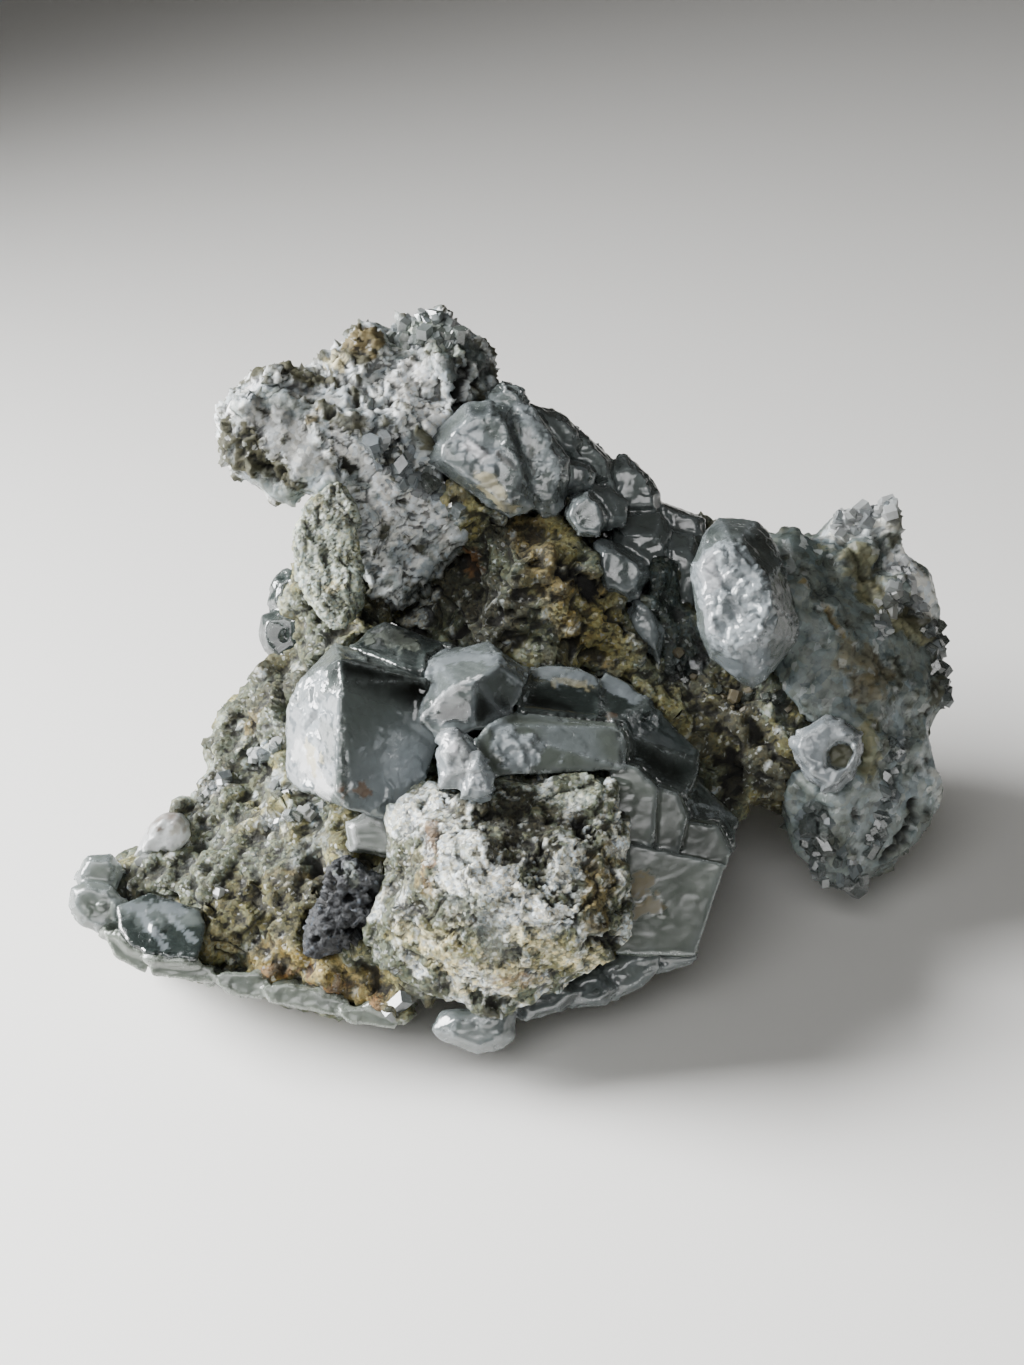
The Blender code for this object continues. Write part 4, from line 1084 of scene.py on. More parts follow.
@dataclass
class CrystalPiece:
    """A crystal or a group of them.

    Attributes:
        node: The CAD node.
        slot: The record's material slot.
        finish: Its finish.
        heart: The mineral look of its inside.
        rim: The look of its edges: partly a milky rim, partly a painted glow of light scattered inside.
        rim_width: How far the pale rim reaches in from the edges in millimetres.
        rim_strength: How pale it gets there, from 0 to 1.
        voxel: The width of the skin's faces in millimetres.
        wear: How far its edges are worn back in millimetres.
        broken: The share of its faces that is fractured, from 0 to 1.
        swell: How far it stands out to meet its neighbours in millimetres.
        waves: The height of the growth hillocks on its faces in millimetres.
        seed: Which noise.
        marks: The minerals laid on in places.
    """

    node: str
    slot: str
    finish: Finish
    heart: Mineral = Mineral.GREY
    rim: Mineral = Mineral.ICE
    rim_width: float = 0.9
    rim_strength: float = 0.6
    voxel: float = 0.24
    wear: float = 0.09
    broken: float = 0.2
    swell: float = 0.35
    waves: float = 0.03
    seed: int = 1
    marks: tuple[Mark, ...] = ()

    def build(self) -> Skin:
        """Makes the skin: flat faces kept, edges worn, rims and marks laid on, and painted shade in its grooves.

        Returns:
            The skin.
        """
        solid = Solid(self.node).flattened(math.radians(4.0))
        skin = Skin(self.node, self.voxel, self.heart)
        edges, grooves = solid.edge_tree(math.radians(14.0)), solid.edge_tree(math.radians(-10.0))
        flat, faces = np.empty_like(skin.points), np.empty(len(skin.points), np.int64)
        reach, inward = np.empty(len(skin.points)), np.empty(len(skin.points))
        for index, point in enumerate(skin.points):
            place, _, faces[index], _ = solid.tree.find_nearest(Vector(point))
            flat[index] = place
            reach[index], inward[index] = edges.find(place)[2], grooves.find(place)[2]
        skin.points += (flat - skin.points) * smooth(np.minimum(reach, inward), 0.1, 0.3)[:, None]
        skin.refresh()
        self.tint(skin, solid, faces, reach)
        # Painted shade: the colour is darkened by up to 0.4 within 0.25 mm of the inward grooves
        skin.colour *= 1 - 0.4 * smooth(inward, 0.25, 0.0)[:, None]
        self.shape(skin, reach)
        skin.read_hollows(2)
        return skin

    def shape(self, skin: Skin, reach: np.ndarray) -> None:
        """Meets the neighbours, wears the edges, and raises growth hillocks and fractures.

        Args:
            skin: The crystal's skin.
            reach: How far each point is from the nearest edge in millimetres.
        """
        points = skin.points
        chips = smooth(noise(points, 0.9, self.seed, 3), 0.1, 0.9)
        skin.edge = np.exp(-((reach / (0.12 + 0.25 * chips)) ** 2))
        hills = noise(points, 1.9, self.seed + 4, 3) * self.waves * smooth(reach, 0.05, 0.6)
        spread = smooth(noise(points, 3.2, self.seed + 6, 3), 0.75 - self.broken * 1.5, 1.05 - self.broken * 1.5)
        splits = Cells.at(points, 2.1, self.seed + 60).facets() * 0.26
        splits += Cells.at(points, 0.95, self.seed + 61).facets() * 0.12
        meet = self.swell * smooth(room_around(skin, self.node), 1.2, 0.4)
        worn = np.exp(-((reach / 0.25) ** 2)) * self.wear * (0.3 + 2.5 * chips)
        skin.raise_by(meet + hills + splits * np.maximum(spread, skin.relief * 0.8) - worn)

    def tint(self, skin: Skin, solid: Solid, faces: np.ndarray, reach: np.ndarray) -> None:
        """Lays the rim, the blotches and the marks on.

        Args:
            skin: The crystal's skin.
            solid: The CAD solid with its flat faces.
            faces: For each point the number of its flat face.
            reach: How far each point is from the nearest edge in millimetres.
        """
        for number, mark in enumerate(self.marks):
            skin.cover(mark.mineral, skin.mask(mark, solid, self.seed * 53 + number, faces))
        # The pale rim along the edges: partly milky calcite, partly a painted glow of light scattered inside
        ragged = self.rim_width * (1 + 0.7 * noise(skin.points, 1.5, self.seed + 8, 3))
        skin.cover(self.rim, self.rim_strength * np.exp(-((reach / ragged.clip(0.05)) ** 1.3)))

    def dress(self, skin: Skin) -> bpy.types.Object:
        """Makes the skin an object that stands for the node.

        Args:
            skin: The skin.

        Returns:
            The object.
        """
        piece = skin.finish(f"{self.node}_skin", self.finish.material())
        settle(piece, self.slot, self.node)
        return piece


@dataclass
class WhiteArm(RockPiece):
    """The white calcite mass that leans out to the upper left."""

    node: str = "white_calcite_arm"
    slot: str = "white_calcite"
    finish: Finish = Finish.MASSIVE_CALCITE
    ground: Mineral = Mineral.SUGARY
    voxel: float = 0.27
    facets: tuple[tuple[float, float], ...] = ((3.2, 0.6), (1.3, 0.2), (0.6, 0.08))
    pits: float = 0.65
    seed: int = 2
    blotches: tuple[tuple[Mineral, float, float, float], ...] = (
        (Mineral.WHITE, 3.5, 0.45, 0.8),
        (Mineral.ICE, 2.4, 0.5, 0.8),
        (Mineral.GREY, 1.7, 0.4, 0.85),
        (Mineral.OLIVE_CRUST, 1.2, 0.33, 0.95),
    )
    specks: tuple[tuple[Mineral, float, float, float], ...] = ((Mineral.OLIVE_CRUST, 0.8, 0.2, 0.9),)
    marks: tuple[Mark, ...] = (
        Mark(Mineral.GREY, ((23.6, 41.6), (25.6, 41.8)), 1.5, 0.8, 0.3),
        Mark(Mineral.ROSY, ((26.8, 42.0), (28.6, 44.0), (30.4, 47.0)), 2.9, 1.0, 0.15, 0.2),
        Mark(Mineral.GREY, ((27.5, 39.6), (30.5, 40.8), (33.0, 41.0)), 1.4, 0.8, 0.5),
        Mark(Mineral.ROSY, ((29.5, 39.2), (33.0, 40.2)), 1.1, 0.9, 0.3),
        Mark(Mineral.GREY, ((25.6, 47.8), (28.0, 49.2), (31.0, 50.8)), 2.1, 1.0, 0.2, 0.6),
        Mark(Mineral.OLIVE_CRUST, ((27.5, 46.8), (29.6, 48.8)), 0.9, 1.0, 0.8),
        Mark(Mineral.GLARE, ((22.8, 41.4), (25.4, 38.6)), 0.95, 1.0, 0.2, 0.2),
        Mark(Mineral.OLIVE_CRUST, ((25.4, 37.6), (28.5, 37.5), (33.0, 38.0)), 1.1, 1.0, 0.7),
        Mark(Mineral.OLIVE_CRUST, ((31.0, 40.0), (34.0, 42.0), (36.0, 42.6)), 0.8, 0.9, 0.9),
        Mark(Mineral.OLIVE_CRUST, ((33.5, 44.6), (35.5, 46.0), (38.5, 45.6)), 0.8, 0.9, 0.9),
        Mark(Mineral.OLIVE_CRUST, ((42.4, 37.3), (41.0, 41.0), (40.0, 40.4)), 0.3, 0.9, 0.9),
        Mark(Mineral.OLIVE_CRUST, ((22.4, 43.0), (24.8, 43.6), (24.0, 46.0)), 1.8, 1.0, 0.6),
        Mark(Mineral.OLIVE_CRUST, ((25.2, 43.4), (25.8, 46.0)), 0.8, 1.0, 0.6),
        Mark(Mineral.OLIVE_CRUST, ((26.3, 46.8), (28.0, 46.6)), 1.1, 0.9, 0.7),
        Mark(Mineral.OCHRE, ((31.4, 41.9),), 0.8, 0.7, 0.7),
        Mark(Mineral.BROWN_SCHIST, ((35.2, 34.0), (37.2, 33.2)), 2.2, 1.0, 0.4),
        Mark(Mineral.OLIVE_CRUST, ((35.0, 35.8), (36.4, 36.3)), 0.9, 0.9, 0.6),
        Mark(Mineral.CREAM, ((33.0, 36.2), (34.0, 36.6)), 0.7, 0.9, 0.6),
        Mark(Mineral.MICA, ((40.6, 33.6), (43.5, 32.4), (45.0, 34.0)), 1.9, 0.9, 0.5),
        Mark(Mineral.DARK_GREY, ((44.8, 35.6), (45.0, 37.6)), 1.0, 0.9, 0.4),
        Mark(Mineral.DARK_GREY, ((46.6, 34.4), (48.4, 36.8)), 1.3, 0.9, 0.4),
        Mark(Mineral.SHADE, ((46.6, 37.0), (45.4, 39.4), (44.6, 41.8)), 0.9, 0.9, 0.6),
        Mark(Mineral.WHITE, ((41.0, 37.2), (41.6, 40.5), (43.2, 42.4)), 1.9, 1.0, 0.5),
        Mark(Mineral.WHITE, ((33.0, 43.4), (36.6, 46.4), (39.0, 49.4)), 0.9, 1.0, 0.7),
        Mark(Mineral.WHITE, ((41.0, 50.0), (44.5, 52.5)), 1.6, 0.9, 0.7),
        Mark(Mineral.WHITE, ((37.0, 50.5), (41.5, 52.8)), 0.9, 0.9, 0.8),
        Mark(Mineral.SHADE, ((40.2, 43.6), (38.6, 45.6)), 0.5, 0.8, 0.8),
        Mark(Mineral.ICE, ((31.6, 47.8), (31.6, 50.6)), 1.1, 1.0, 0.3),
        Mark(Mineral.OCHRE, ((42.4, 46.4),), 0.8, 0.5, 0.8),
    )


@dataclass
class SchistFlake(RockPiece):
    """The light grey-green flake that hangs from the arm."""

    node: str = "schist_flake"
    slot: str = "schist"
    finish: Finish = Finish.SCHIST
    ground: Mineral = Mineral.MICA
    voxel: float = 0.24
    leaf: tuple[float, float, float] = (1.5, 0.7, 0.1)
    facets: tuple[tuple[float, float], ...] = ((3.2, 0.3), (1.2, 0.16), (0.5, 0.07))
    pits: float = 0.25
    swell: float = 0.3
    seed: int = 3
    blotches: tuple[tuple[Mineral, float, float, float], ...] = (
        (Mineral.SCHIST, 1.6, 0.5, 0.7),
        (Mineral.YELLOW_SCHIST, 2.0, 0.4, 0.6),
    )
    marks: tuple[Mark, ...] = (
        Mark(Mineral.DARK_SCHIST, ((33.5, 49.0), (34.4, 52.0)), 0.9, 0.7, 0.6),
        Mark(Mineral.CREAM, ((33.6, 58.5),), 0.9, 0.6, 0.6),
    )


@dataclass
class GraphitePatch(RockPiece):
    """The blue-black graphite on the slab."""

    node: str = "graphite_patch"
    slot: str = "graphite"
    finish: Finish = Finish.GRAPHITE
    ground: Mineral = Mineral.GRAPHITE
    voxel: float = 0.2
    facets: tuple[tuple[float, float], ...] = ((2.0, 0.3), (0.8, 0.14), (0.4, 0.08))
    pits: float = 0.15
    swell: float = 0.4
    seed: int = 4
    blotches: tuple[tuple[Mineral, float, float, float], ...] = ((Mineral.SHADE, 1.4, 0.45, 0.8),)
    marks: tuple[Mark, ...] = (Mark(Mineral.MICA, ((34.6, 86.8), (35.4, 88.0)), 0.8, 0.35, 0.8),)


@dataclass
class FrontBlock(RockPiece):
    """The speckled block at the front: white calcite and green-grey schist mixed."""

    node: str = "front_rock_block"
    slot: str = "schist"
    finish: Finish = Finish.SCHIST
    ground: Mineral = Mineral.SCHIST
    voxel: float = 0.24
    swell: float = 0.8
    facets: tuple[tuple[float, float], ...] = ((4.2, 0.6), (1.6, 0.17), (0.6, 0.07))
    pits: float = 0.25
    seed: int = 5
    blotches: tuple[tuple[Mineral, float, float, float], ...] = (
        (Mineral.SUGARY, 2.0, 0.5, 0.8),
        (Mineral.DARK_SCHIST, 1.6, 0.35, 0.8),
    )
    leaf: tuple[float, float, float] = (0.1, -0.15, 0.25)
    specks: tuple[tuple[Mineral, float, float, float], ...] = (
        (Mineral.SUGARY, 1.0, 0.3, 0.6),
        (Mineral.SCHIST, 0.9, 0.38, 0.7),
    )
    marks: tuple[Mark, ...] = (
        Mark(Mineral.SUGARY, ((41.0, 80.5), (44.0, 79.5), (46.0, 83.0), (46.5, 88.0)), 2.8, 0.9, 0.7, 0.6),
        Mark(Mineral.WHITE, ((42.0, 81.8), (44.4, 80.2)), 1.1, 0.9, 0.9),
        Mark(Mineral.DARK_SCHIST, ((50.5, 80.0), (53.0, 82.5), (57.0, 83.0)), 2.6, 0.95, 0.6),
        Mark(Mineral.DARK_SCHIST, ((48.5, 81.0), (51.0, 84.5), (56.0, 87.0)), 2.4, 0.95, 0.7),
        Mark(Mineral.MICA, ((50.0, 78.5), (54.5, 79.0), (57.5, 80.5)), 0.6, 0.7, 0.9),
        Mark(Mineral.SHADE, ((57.6, 82.0), (58.8, 83.4)), 0.8, 0.9, 0.7),
        Mark(Mineral.SHADE, ((53.6, 85.0), (54.6, 86.8), (53.8, 88.6)), 0.8, 0.8, 0.8),
        Mark(Mineral.MICA, ((57.0, 77.0), (59.0, 78.6), (58.0, 79.6)), 1.2, 0.8, 0.7),
        Mark(Mineral.SUGARY, ((58.0, 85.0), (56.0, 88.0), (53.5, 90.0)), 1.3, 0.8, 0.8),
        Mark(Mineral.SUGARY, ((47.0, 86.0), (50.0, 90.0), (55.0, 91.5)), 2.8, 0.95, 0.7, 0.6),
        Mark(Mineral.WHITE, ((50.0, 88.0), (53.4, 90.4), (57.0, 92.0)), 1.2, 1.0, 0.9),
        Mark(Mineral.RUST, ((43.2, 82.6), (43.0, 85.0), (42.6, 88.4)), 0.75, 0.8, 0.9),
        Mark(Mineral.OCHRE, ((42.0, 86.4), (43.0, 89.4)), 0.9, 0.6, 0.9),
        Mark(Mineral.SCHIST, ((44.6, 90.4), (48.0, 90.2)), 1.2, 0.8, 0.6),
        Mark(Mineral.YELLOW_SCHIST, ((40.5, 93.6), (46.0, 95.0), (52.0, 95.5), (58.0, 96.5)), 2.8, 0.75, 0.6, 0.6),
        Mark(Mineral.CREAM, ((42.0, 93.0), (45.5, 96.8), (50.0, 97.6)), 2.0, 0.75, 0.9),
        Mark(Mineral.CREAM, ((52.0, 92.8), (55.0, 95.0), (60.0, 96.4)), 1.1, 0.7, 0.8),
        Mark(Mineral.DARK_GREY, ((48.6, 92.8), (49.6, 94.6)), 1.7, 0.8, 0.7),
        Mark(Mineral.DARK_SCHIST, ((40.6, 90.6), (44.0, 92.0), (47.0, 92.2)), 0.7, 0.8, 0.8),
        Mark(Mineral.CREAM, ((44.0, 96.6), (50.0, 98.6), (54.0, 98.0)), 0.7, 0.7, 0.8),
        Mark(Mineral.WHITE, ((46.0, 96.6), (49.5, 99.0)), 0.9, 0.6, 0.9),
        Mark(Mineral.RUST, ((50.4, 98.4), (53.0, 98.0)), 0.8, 0.6, 0.8),
        Mark(Mineral.BROWN_SCHIST, ((60.5, 86.0), (60.0, 92.0)), 2.0, 0.8, 0.4),
        Mark(Mineral.SHADE, ((59.0, 94.0), (62.0, 94.2)), 1.0, 0.7, 0.7),
        Mark(Mineral.SHADE, ((61.8, 79.8), (62.6, 81.4)), 0.6, 0.9, 0.7),
        Mark(Mineral.CREAM, ((52.0, 100.4), (58.0, 98.4), (61.5, 96.8)), 0.35, 0.8, 0.6),
    )


@dataclass
class RightBlock(RockPiece):
    """The grey calcite mass at the right with its two prongs."""

    node: str = "right_calcite_block"
    slot: str = "grey_calcite"
    finish: Finish = Finish.GREY_CALCITE
    ground: Mineral = Mineral.GREY
    voxel: float = 0.34
    facets: tuple[tuple[float, float], ...] = ((3.2, 0.4), (1.4, 0.2), (0.6, 0.08))
    pits: float = 0.6
    seed: int = 6
    blotches: tuple[tuple[Mineral, float, float, float], ...] = (
        (Mineral.ICE, 3.0, 0.4, 0.35),
        (Mineral.OLIVE_CRUST, 1.6, 0.25, 0.7),
    )
    marks: tuple[Mark, ...] = (
        Mark(Mineral.DARK_GREY, ((79.5, 53.6), (82.0, 55.5)), 1.8, 0.7, 0.3),
        Mark(Mineral.GREY, ((80.0, 60.0), (82.0, 65.0), (82.5, 69.5)), 2.6, 0.9, 0.2),
        Mark(Mineral.YELLOW_SCHIST, ((84.5, 55.5), (88.5, 60.0), (91.5, 63.0)), 2.2, 0.6, 0.6),
        Mark(Mineral.OLIVE_CRUST, ((84.5, 55.5), (88.5, 60.0), (91.5, 63.0)), 0.6, 0.85, 0.9),
        Mark(Mineral.BROWN_SCHIST, ((85.0, 65.0), (87.5, 67.0), (86.0, 69.0)), 1.7, 0.6, 0.7),
        Mark(Mineral.OCHRE, ((80.5, 58.0), (82.5, 60.5), (84.5, 63.5)), 0.35, 0.7, 0.8),
        Mark(Mineral.SHADE, ((79.0, 57.0), (82.0, 61.0)), 0.25, 0.9, 0.6),
        Mark(Mineral.SUGARY, ((83.5, 52.5), (88.5, 51.5)), 2.3, 1.0, 0.5),
        Mark(Mineral.OLIVE_CRUST, ((89.4, 51.5), (89.2, 54.5)), 0.7, 0.8, 0.6),
        Mark(Mineral.WHITE, ((90.6, 57.0), (93.0, 60.0)), 2.0, 0.9, 0.6),
        Mark(Mineral.OLIVE_CRUST, ((91.8, 62.0), (94.0, 66.0), (93.0, 71.0)), 1.1, 0.8, 0.7),
        Mark(Mineral.ICE, ((84.0, 76.5), (90.0, 73.0)), 2.0, 0.4, 0.8),
        Mark(Mineral.ICE, ((88.0, 80.0), (92.0, 79.0), (93.5, 76.5)), 2.2, 0.5, 0.6),
        Mark(Mineral.SUGARY, ((92.8, 77.0), (94.0, 80.0)), 1.1, 0.5, 0.7),
        Mark(Mineral.YELLOW_SCHIST, ((86.5, 73.0), (87.0, 77.0)), 1.6, 0.6, 0.7),
        Mark(Mineral.SHADE, ((85.5, 81.0), (85.8, 82.0)), 0.5, 0.8, 0.7),
        Mark(Mineral.SHADE, ((91.4, 80.4), (91.0, 83.0), (88.8, 85.6)), 0.8, 0.8, 0.6),
        Mark(Mineral.DARK_GREY, ((81.0, 82.0), (82.0, 85.0)), 1.6, 0.7, 0.5),
        Mark(Mineral.OLIVE_CRUST, ((83.8, 84.2),), 1.2, 0.6, 0.6),
        Mark(Mineral.ICE, ((85.6, 83.0), (86.0, 86.5)), 0.7, 0.5, 0.8),
    )


@dataclass
class MatrixRock(RockPiece):
    """The schist that carries everything: the recess, the left ridge, the slab and the back."""

    node: str = "matrix_rock"
    slot: str = "schist"
    finish: Finish = Finish.SCHIST
    ground: Mineral = Mineral.SCHIST
    voxel: float = 0.44
    facets: tuple[tuple[float, float], ...] = ((5.0, 0.9), (2.0, 0.28), (0.85, 0.11))
    pits: float = 0.5
    seed: int = 7
    blotches: tuple[tuple[Mineral, float, float, float], ...] = (
        (Mineral.YELLOW_SCHIST, 5.0, 0.5, 0.7),
        (Mineral.DARK_SCHIST, 3.0, 0.35, 0.7),
        (Mineral.MICA, 2.0, 0.3, 0.5),
    )
    specks: tuple[tuple[Mineral, float, float, float], ...] = (
        (Mineral.SUGARY, 1.0, 0.1, 0.6),
        (Mineral.DARK_SCHIST, 1.0, 0.36, 0.75),
    )
    marks: tuple[Mark, ...] = (
        # The recess
        Mark(Mineral.YELLOW_SCHIST, ((43.5, 48.0), (46.0, 48.5), (46.5, 52.0)), 3.2, 0.9, 0.3),
        Mark(Mineral.CREAM, ((43.5, 48.0), (46.0, 49.0)), 2.4, 0.35, 0.8),
        Mark(Mineral.DARK_SCHIST, ((49.0, 50.0), (50.5, 54.0)), 1.8, 0.85, 0.4),
        Mark(Mineral.BROWN_SCHIST, ((52.5, 52.5), (55.0, 56.0), (57.5, 60.0), (60.5, 64.5)), 3.2, 0.9, 0.3),
        Mark(Mineral.OCHRE, ((57.0, 61.0), (60.0, 64.0)), 2.2, 0.6, 0.5),
        Mark(Mineral.YELLOW_SCHIST, ((55.5, 53.5), (57.0, 56.0)), 1.2, 0.7, 0.6),
        Mark(Mineral.SHADE, ((56.6, 57.0), (59.0, 59.0)), 1.3, 0.95, 0.5),
        Mark(Mineral.SHADE, ((48.0, 48.6), (50.5, 51.3), (53.5, 51.6)), 0.8, 0.95, 0.5),
        Mark(Mineral.SHADE, ((60.0, 60.0), (62.6, 63.0)), 0.6, 0.9, 0.6),
        Mark(Mineral.CREAM, ((54.6, 60.2), (56.0, 63.6)), 0.7, 0.7, 0.7),
        Mark(Mineral.YELLOW_SCHIST, ((58.0, 60.5), (61.5, 64.5)), 1.6, 0.8, 0.7),
        Mark(Mineral.ICE, ((43.5, 51.0), (45.8, 51.4)), 0.9, 0.9, 0.3),
        Mark(Mineral.DARK_SCHIST, ((45.0, 58.0), (48.0, 60.0), (50.5, 63.0)), 3.4, 0.8, 0.5),
        Mark(Mineral.SCHIST, ((53.0, 62.5), (54.5, 64.8)), 1.8, 0.9, 0.5),
        Mark(Mineral.SHADE, ((45.0, 63.0), (47.0, 63.4)), 0.9, 0.9, 0.6),
        Mark(Mineral.SHADE, ((50.0, 57.0), (51.0, 61.0)), 0.7, 0.8, 0.6),
        Mark(Mineral.RUST, ((47.2, 55.0), (47.4, 57.2)), 0.9, 0.9, 0.6),
        Mark(Mineral.SUGARY, ((41.5, 55.5), (42.5, 59.0), (41.8, 62.0)), 1.6, 0.7, 0.6),
        # Behind the flake and the left ridge
        Mark(Mineral.SCHIST, ((29.0, 62.0), (31.0, 65.0)), 2.4, 0.9, 0.3),
        Mark(Mineral.SHADE, ((37.0, 55.0), (37.4, 60.0)), 1.0, 0.9, 0.3),
        Mark(Mineral.SHADE, ((36.6, 61.4), (39.0, 62.0)), 0.7, 0.9, 0.3),
        Mark(Mineral.OLIVE_CRUST, ((25.5, 69.5), (27.5, 70.0)), 1.8, 0.7, 0.5),
        Mark(Mineral.BROWN_SCHIST, ((24.6, 72.6), (25.4, 71.4)), 0.8, 0.9, 0.5),
        Mark(Mineral.ICE, ((24.6, 76.2), (26.6, 74.8)), 0.8, 0.9, 0.5),
        Mark(Mineral.WHITE, ((20.5, 79.6), (22.2, 78.2)), 0.7, 0.9, 0.5),
        Mark(Mineral.SCHIST, ((24.0, 77.5), (26.5, 79.0)), 2.0, 0.8, 0.5),
        Mark(Mineral.ICE, ((27.6, 77.6), (28.0, 79.6)), 0.7, 0.9, 0.4),
        Mark(Mineral.DARK_GREY, ((29.4, 79.2),), 1.1, 0.9, 0.3),
        Mark(Mineral.ICE, ((26.6, 82.4), (31.0, 81.4), (35.0, 80.6)), 0.8, 0.8, 0.6),
        # The slab
        Mark(Mineral.SCHIST, ((16.0, 87.5), (22.0, 85.5), (27.0, 85.0)), 2.8, 0.9, 0.5),
        Mark(Mineral.CREAM, ((21.0, 92.5), (22.5, 94.5)), 1.2, 0.6, 0.8),
        Mark(Mineral.SHADE, ((10.4, 87.2), (12.2, 88.4)), 1.1, 0.95, 0.4),
        Mark(Mineral.BROWN_SCHIST, ((11.7, 89.5), (12.0, 91.0)), 0.7, 0.9, 0.4),
        Mark(Mineral.CREAM, ((13.0, 90.4), (19.0, 90.4)), 0.7, 0.7, 0.6),
        Mark(Mineral.OLIVE, ((30.0, 83.0), (33.5, 84.0)), 1.5, 0.8, 0.6),
        Mark(Mineral.BROWN_SCHIST, ((26.5, 87.6), (31.0, 87.4)), 0.5, 0.8, 0.7),
        Mark(Mineral.OLIVE, ((24.0, 90.0), (28.0, 90.5), (29.5, 93.0)), 3.2, 1.0, 0.5),
        Mark(Mineral.OLIVE_CRUST, ((28.0, 88.4), (30.5, 89.0)), 1.4, 0.7, 0.6),
        Mark(Mineral.SHADE, ((31.8, 86.5), (32.0, 88.5)), 0.9, 0.9, 0.4),
        Mark(Mineral.SHADE, ((36.0, 86.0), (39.0, 86.6)), 0.6, 0.9, 0.4),
        Mark(Mineral.SHADE, ((38.4, 88.0), (38.0, 91.0)), 0.8, 0.9, 0.5),
        Mark(Mineral.OCHRE, ((26.0, 95.6), (31.0, 96.6), (38.0, 98.6)), 2.0, 0.8, 0.4),
        Mark(Mineral.RUST, ((27.0, 96.8), (31.0, 97.6)), 0.7, 0.8, 0.8),
        Mark(Mineral.RUST, ((33.4, 98.4), (38.0, 100.0)), 0.7, 0.8, 0.8),
        Mark(Mineral.GREY, ((31.5, 84.2), (30.0, 85.6)), 1.2, 0.6, 0.6),
        Mark(Mineral.YELLOW_SCHIST, ((39.0, 97.5), (41.0, 99.5)), 1.6, 0.8, 0.5),
        Mark(Mineral.DARK_GREY, ((41.6, 99.4), (43.0, 100.8)), 1.2, 0.8, 0.4),
        # The right side
        Mark(Mineral.DARK_GREY, ((63.5, 53.0), (65.6, 58.0), (67.4, 63.0), (69.0, 67.0)), 2.9, 1.0, 0.1, 0.3),
        Mark(Mineral.OLIVE_CRUST, ((70.0, 68.5), (74.0, 70.5), (71.0, 74.0)), 2.4, 0.8, 0.5),
        Mark(Mineral.OLIVE, ((72.0, 70.5), (75.5, 72.5), (79.0, 77.0)), 2.4, 0.9, 0.6),
        Mark(Mineral.DARK_SCHIST, ((74.0, 71.0), (75.5, 74.5), (77.0, 78.0)), 2.6, 0.75, 0.6),
        Mark(Mineral.SHADE, ((72.5, 76.0), (74.0, 78.0), (72.6, 79.6)), 1.4, 0.9, 0.5),
        Mark(Mineral.DARK_GREY, ((69.5, 66.5), (66.0, 66.0)), 1.6, 0.8, 0.5),
        Mark(Mineral.YELLOW_SCHIST, ((78.6, 69.5), (79.6, 71.0)), 1.2, 0.8, 0.5),
        Mark(Mineral.YELLOW_SCHIST, ((70.2, 60.0), (70.6, 62.0)), 0.7, 0.8, 0.4),
    )


@dataclass
class GrownCrystals:
    """Small calcite crystals grown on a host skin.

    Attributes:
        name: The piece's name.
        slot: The record's material slot.
        finish: The finish.
        places: (path, half width, count) of each patch on the sheet.
        sizes: The smallest and largest half width of a crystal in millimetres.
        tall: Their smallest and largest height in half widths.
        lean: How far they lean at random.
        colours: The minerals that they look like.
        seed: Which random numbers.
    """

    name: str
    slot: str
    finish: Finish
    places: tuple[tuple[tuple[Place, ...], float, int], ...]
    sizes: tuple[float, float] = (0.4, 0.9)
    tall: tuple[float, float] = (0.6, 1.5)
    lean: float = 0.7
    colours: tuple[Mineral, ...] = (Mineral.ICE, Mineral.GREY)
    seed: int = 1

    def build(self, host: Skin, solid: Solid) -> bpy.types.Object:
        """Grows them.

        Args:
            host: The skin that they grow on.
            solid: The host's CAD solid.

        Returns:
            The object.
        """
        chance = np.random.default_rng(self.seed)
        points, faces, tones = [], [], []
        shape, sides = calcite_prism()
        for path, width, count in self.places:
            line = [solid.under(place)[0] for place in path]
            weight = smooth(host.near(line), width, width * 0.5)
            if weight.sum() < 1e-6:
                continue
            for index in chance.choice(len(weight), count, p=weight / weight.sum()):
                half = chance.uniform(*self.sizes) * chance.uniform(0.7, 1.15)
                axis = Vector(host.normals[index] + chance.normal(0, self.lean, 3)).normalized()
                turn = np.array(Vector((0, 0, 1)).rotation_difference(axis).to_matrix() @ Matrix.Rotation(chance.uniform(0, 6.28), 3, "Z"))
                size = half * np.array([chance.uniform(0.6, 1.3), chance.uniform(0.8, 1.1), chance.uniform(*self.tall)])
                faces += [[corner + len(points) * len(shape) for corner in side] for side in sides]
                root = host.points[index] - np.array(axis) * half * chance.uniform(0.3, 1.1)
                points.append(root + (shape * size) @ turn.T)
                look = self.colours[chance.integers(len(self.colours))].value
                tone = linear(look.colour) * chance.uniform(0.6, 1.1)
                tones.append(np.append(tone * 0.6 + host.colour[index] * 0.4, look.gloss))
        grown = np.concatenate(points)
        grown[:, 2] = grown[:, 2].clip(FOOT)
        mesh = bpy.data.meshes.new(self.name)
        mesh.from_pydata(grown * MM, [], faces)
        tones = np.repeat(np.array(tones), len(shape), axis=0)
        tone = mesh.attributes.new("tone", "FLOAT_COLOR", "POINT")
        tone.data.foreach_set("color", np.c_[np.clip(tones[:, :3], 0, 1), np.ones(len(tones))].ravel())
        # An edge value of 0.25 all over lets bruising and painted edge highlight show in spots on the small crystals
        for label, values in (("gloss", tones[:, 3]), ("sparkle", np.full(len(tones), 0.15)), ("edge", np.full(len(tones), 0.25))):
            mesh.attributes.new(label, "FLOAT", "POINT").data.foreach_set("value", values.astype(np.float32))
        mesh.shade_flat()
        mesh.materials.append(self.finish.material())
        piece = bpy.data.objects.new(self.name, mesh)
        bpy.context.scene.collection.objects.link(piece)
        settle(piece, self.slot)
        return piece


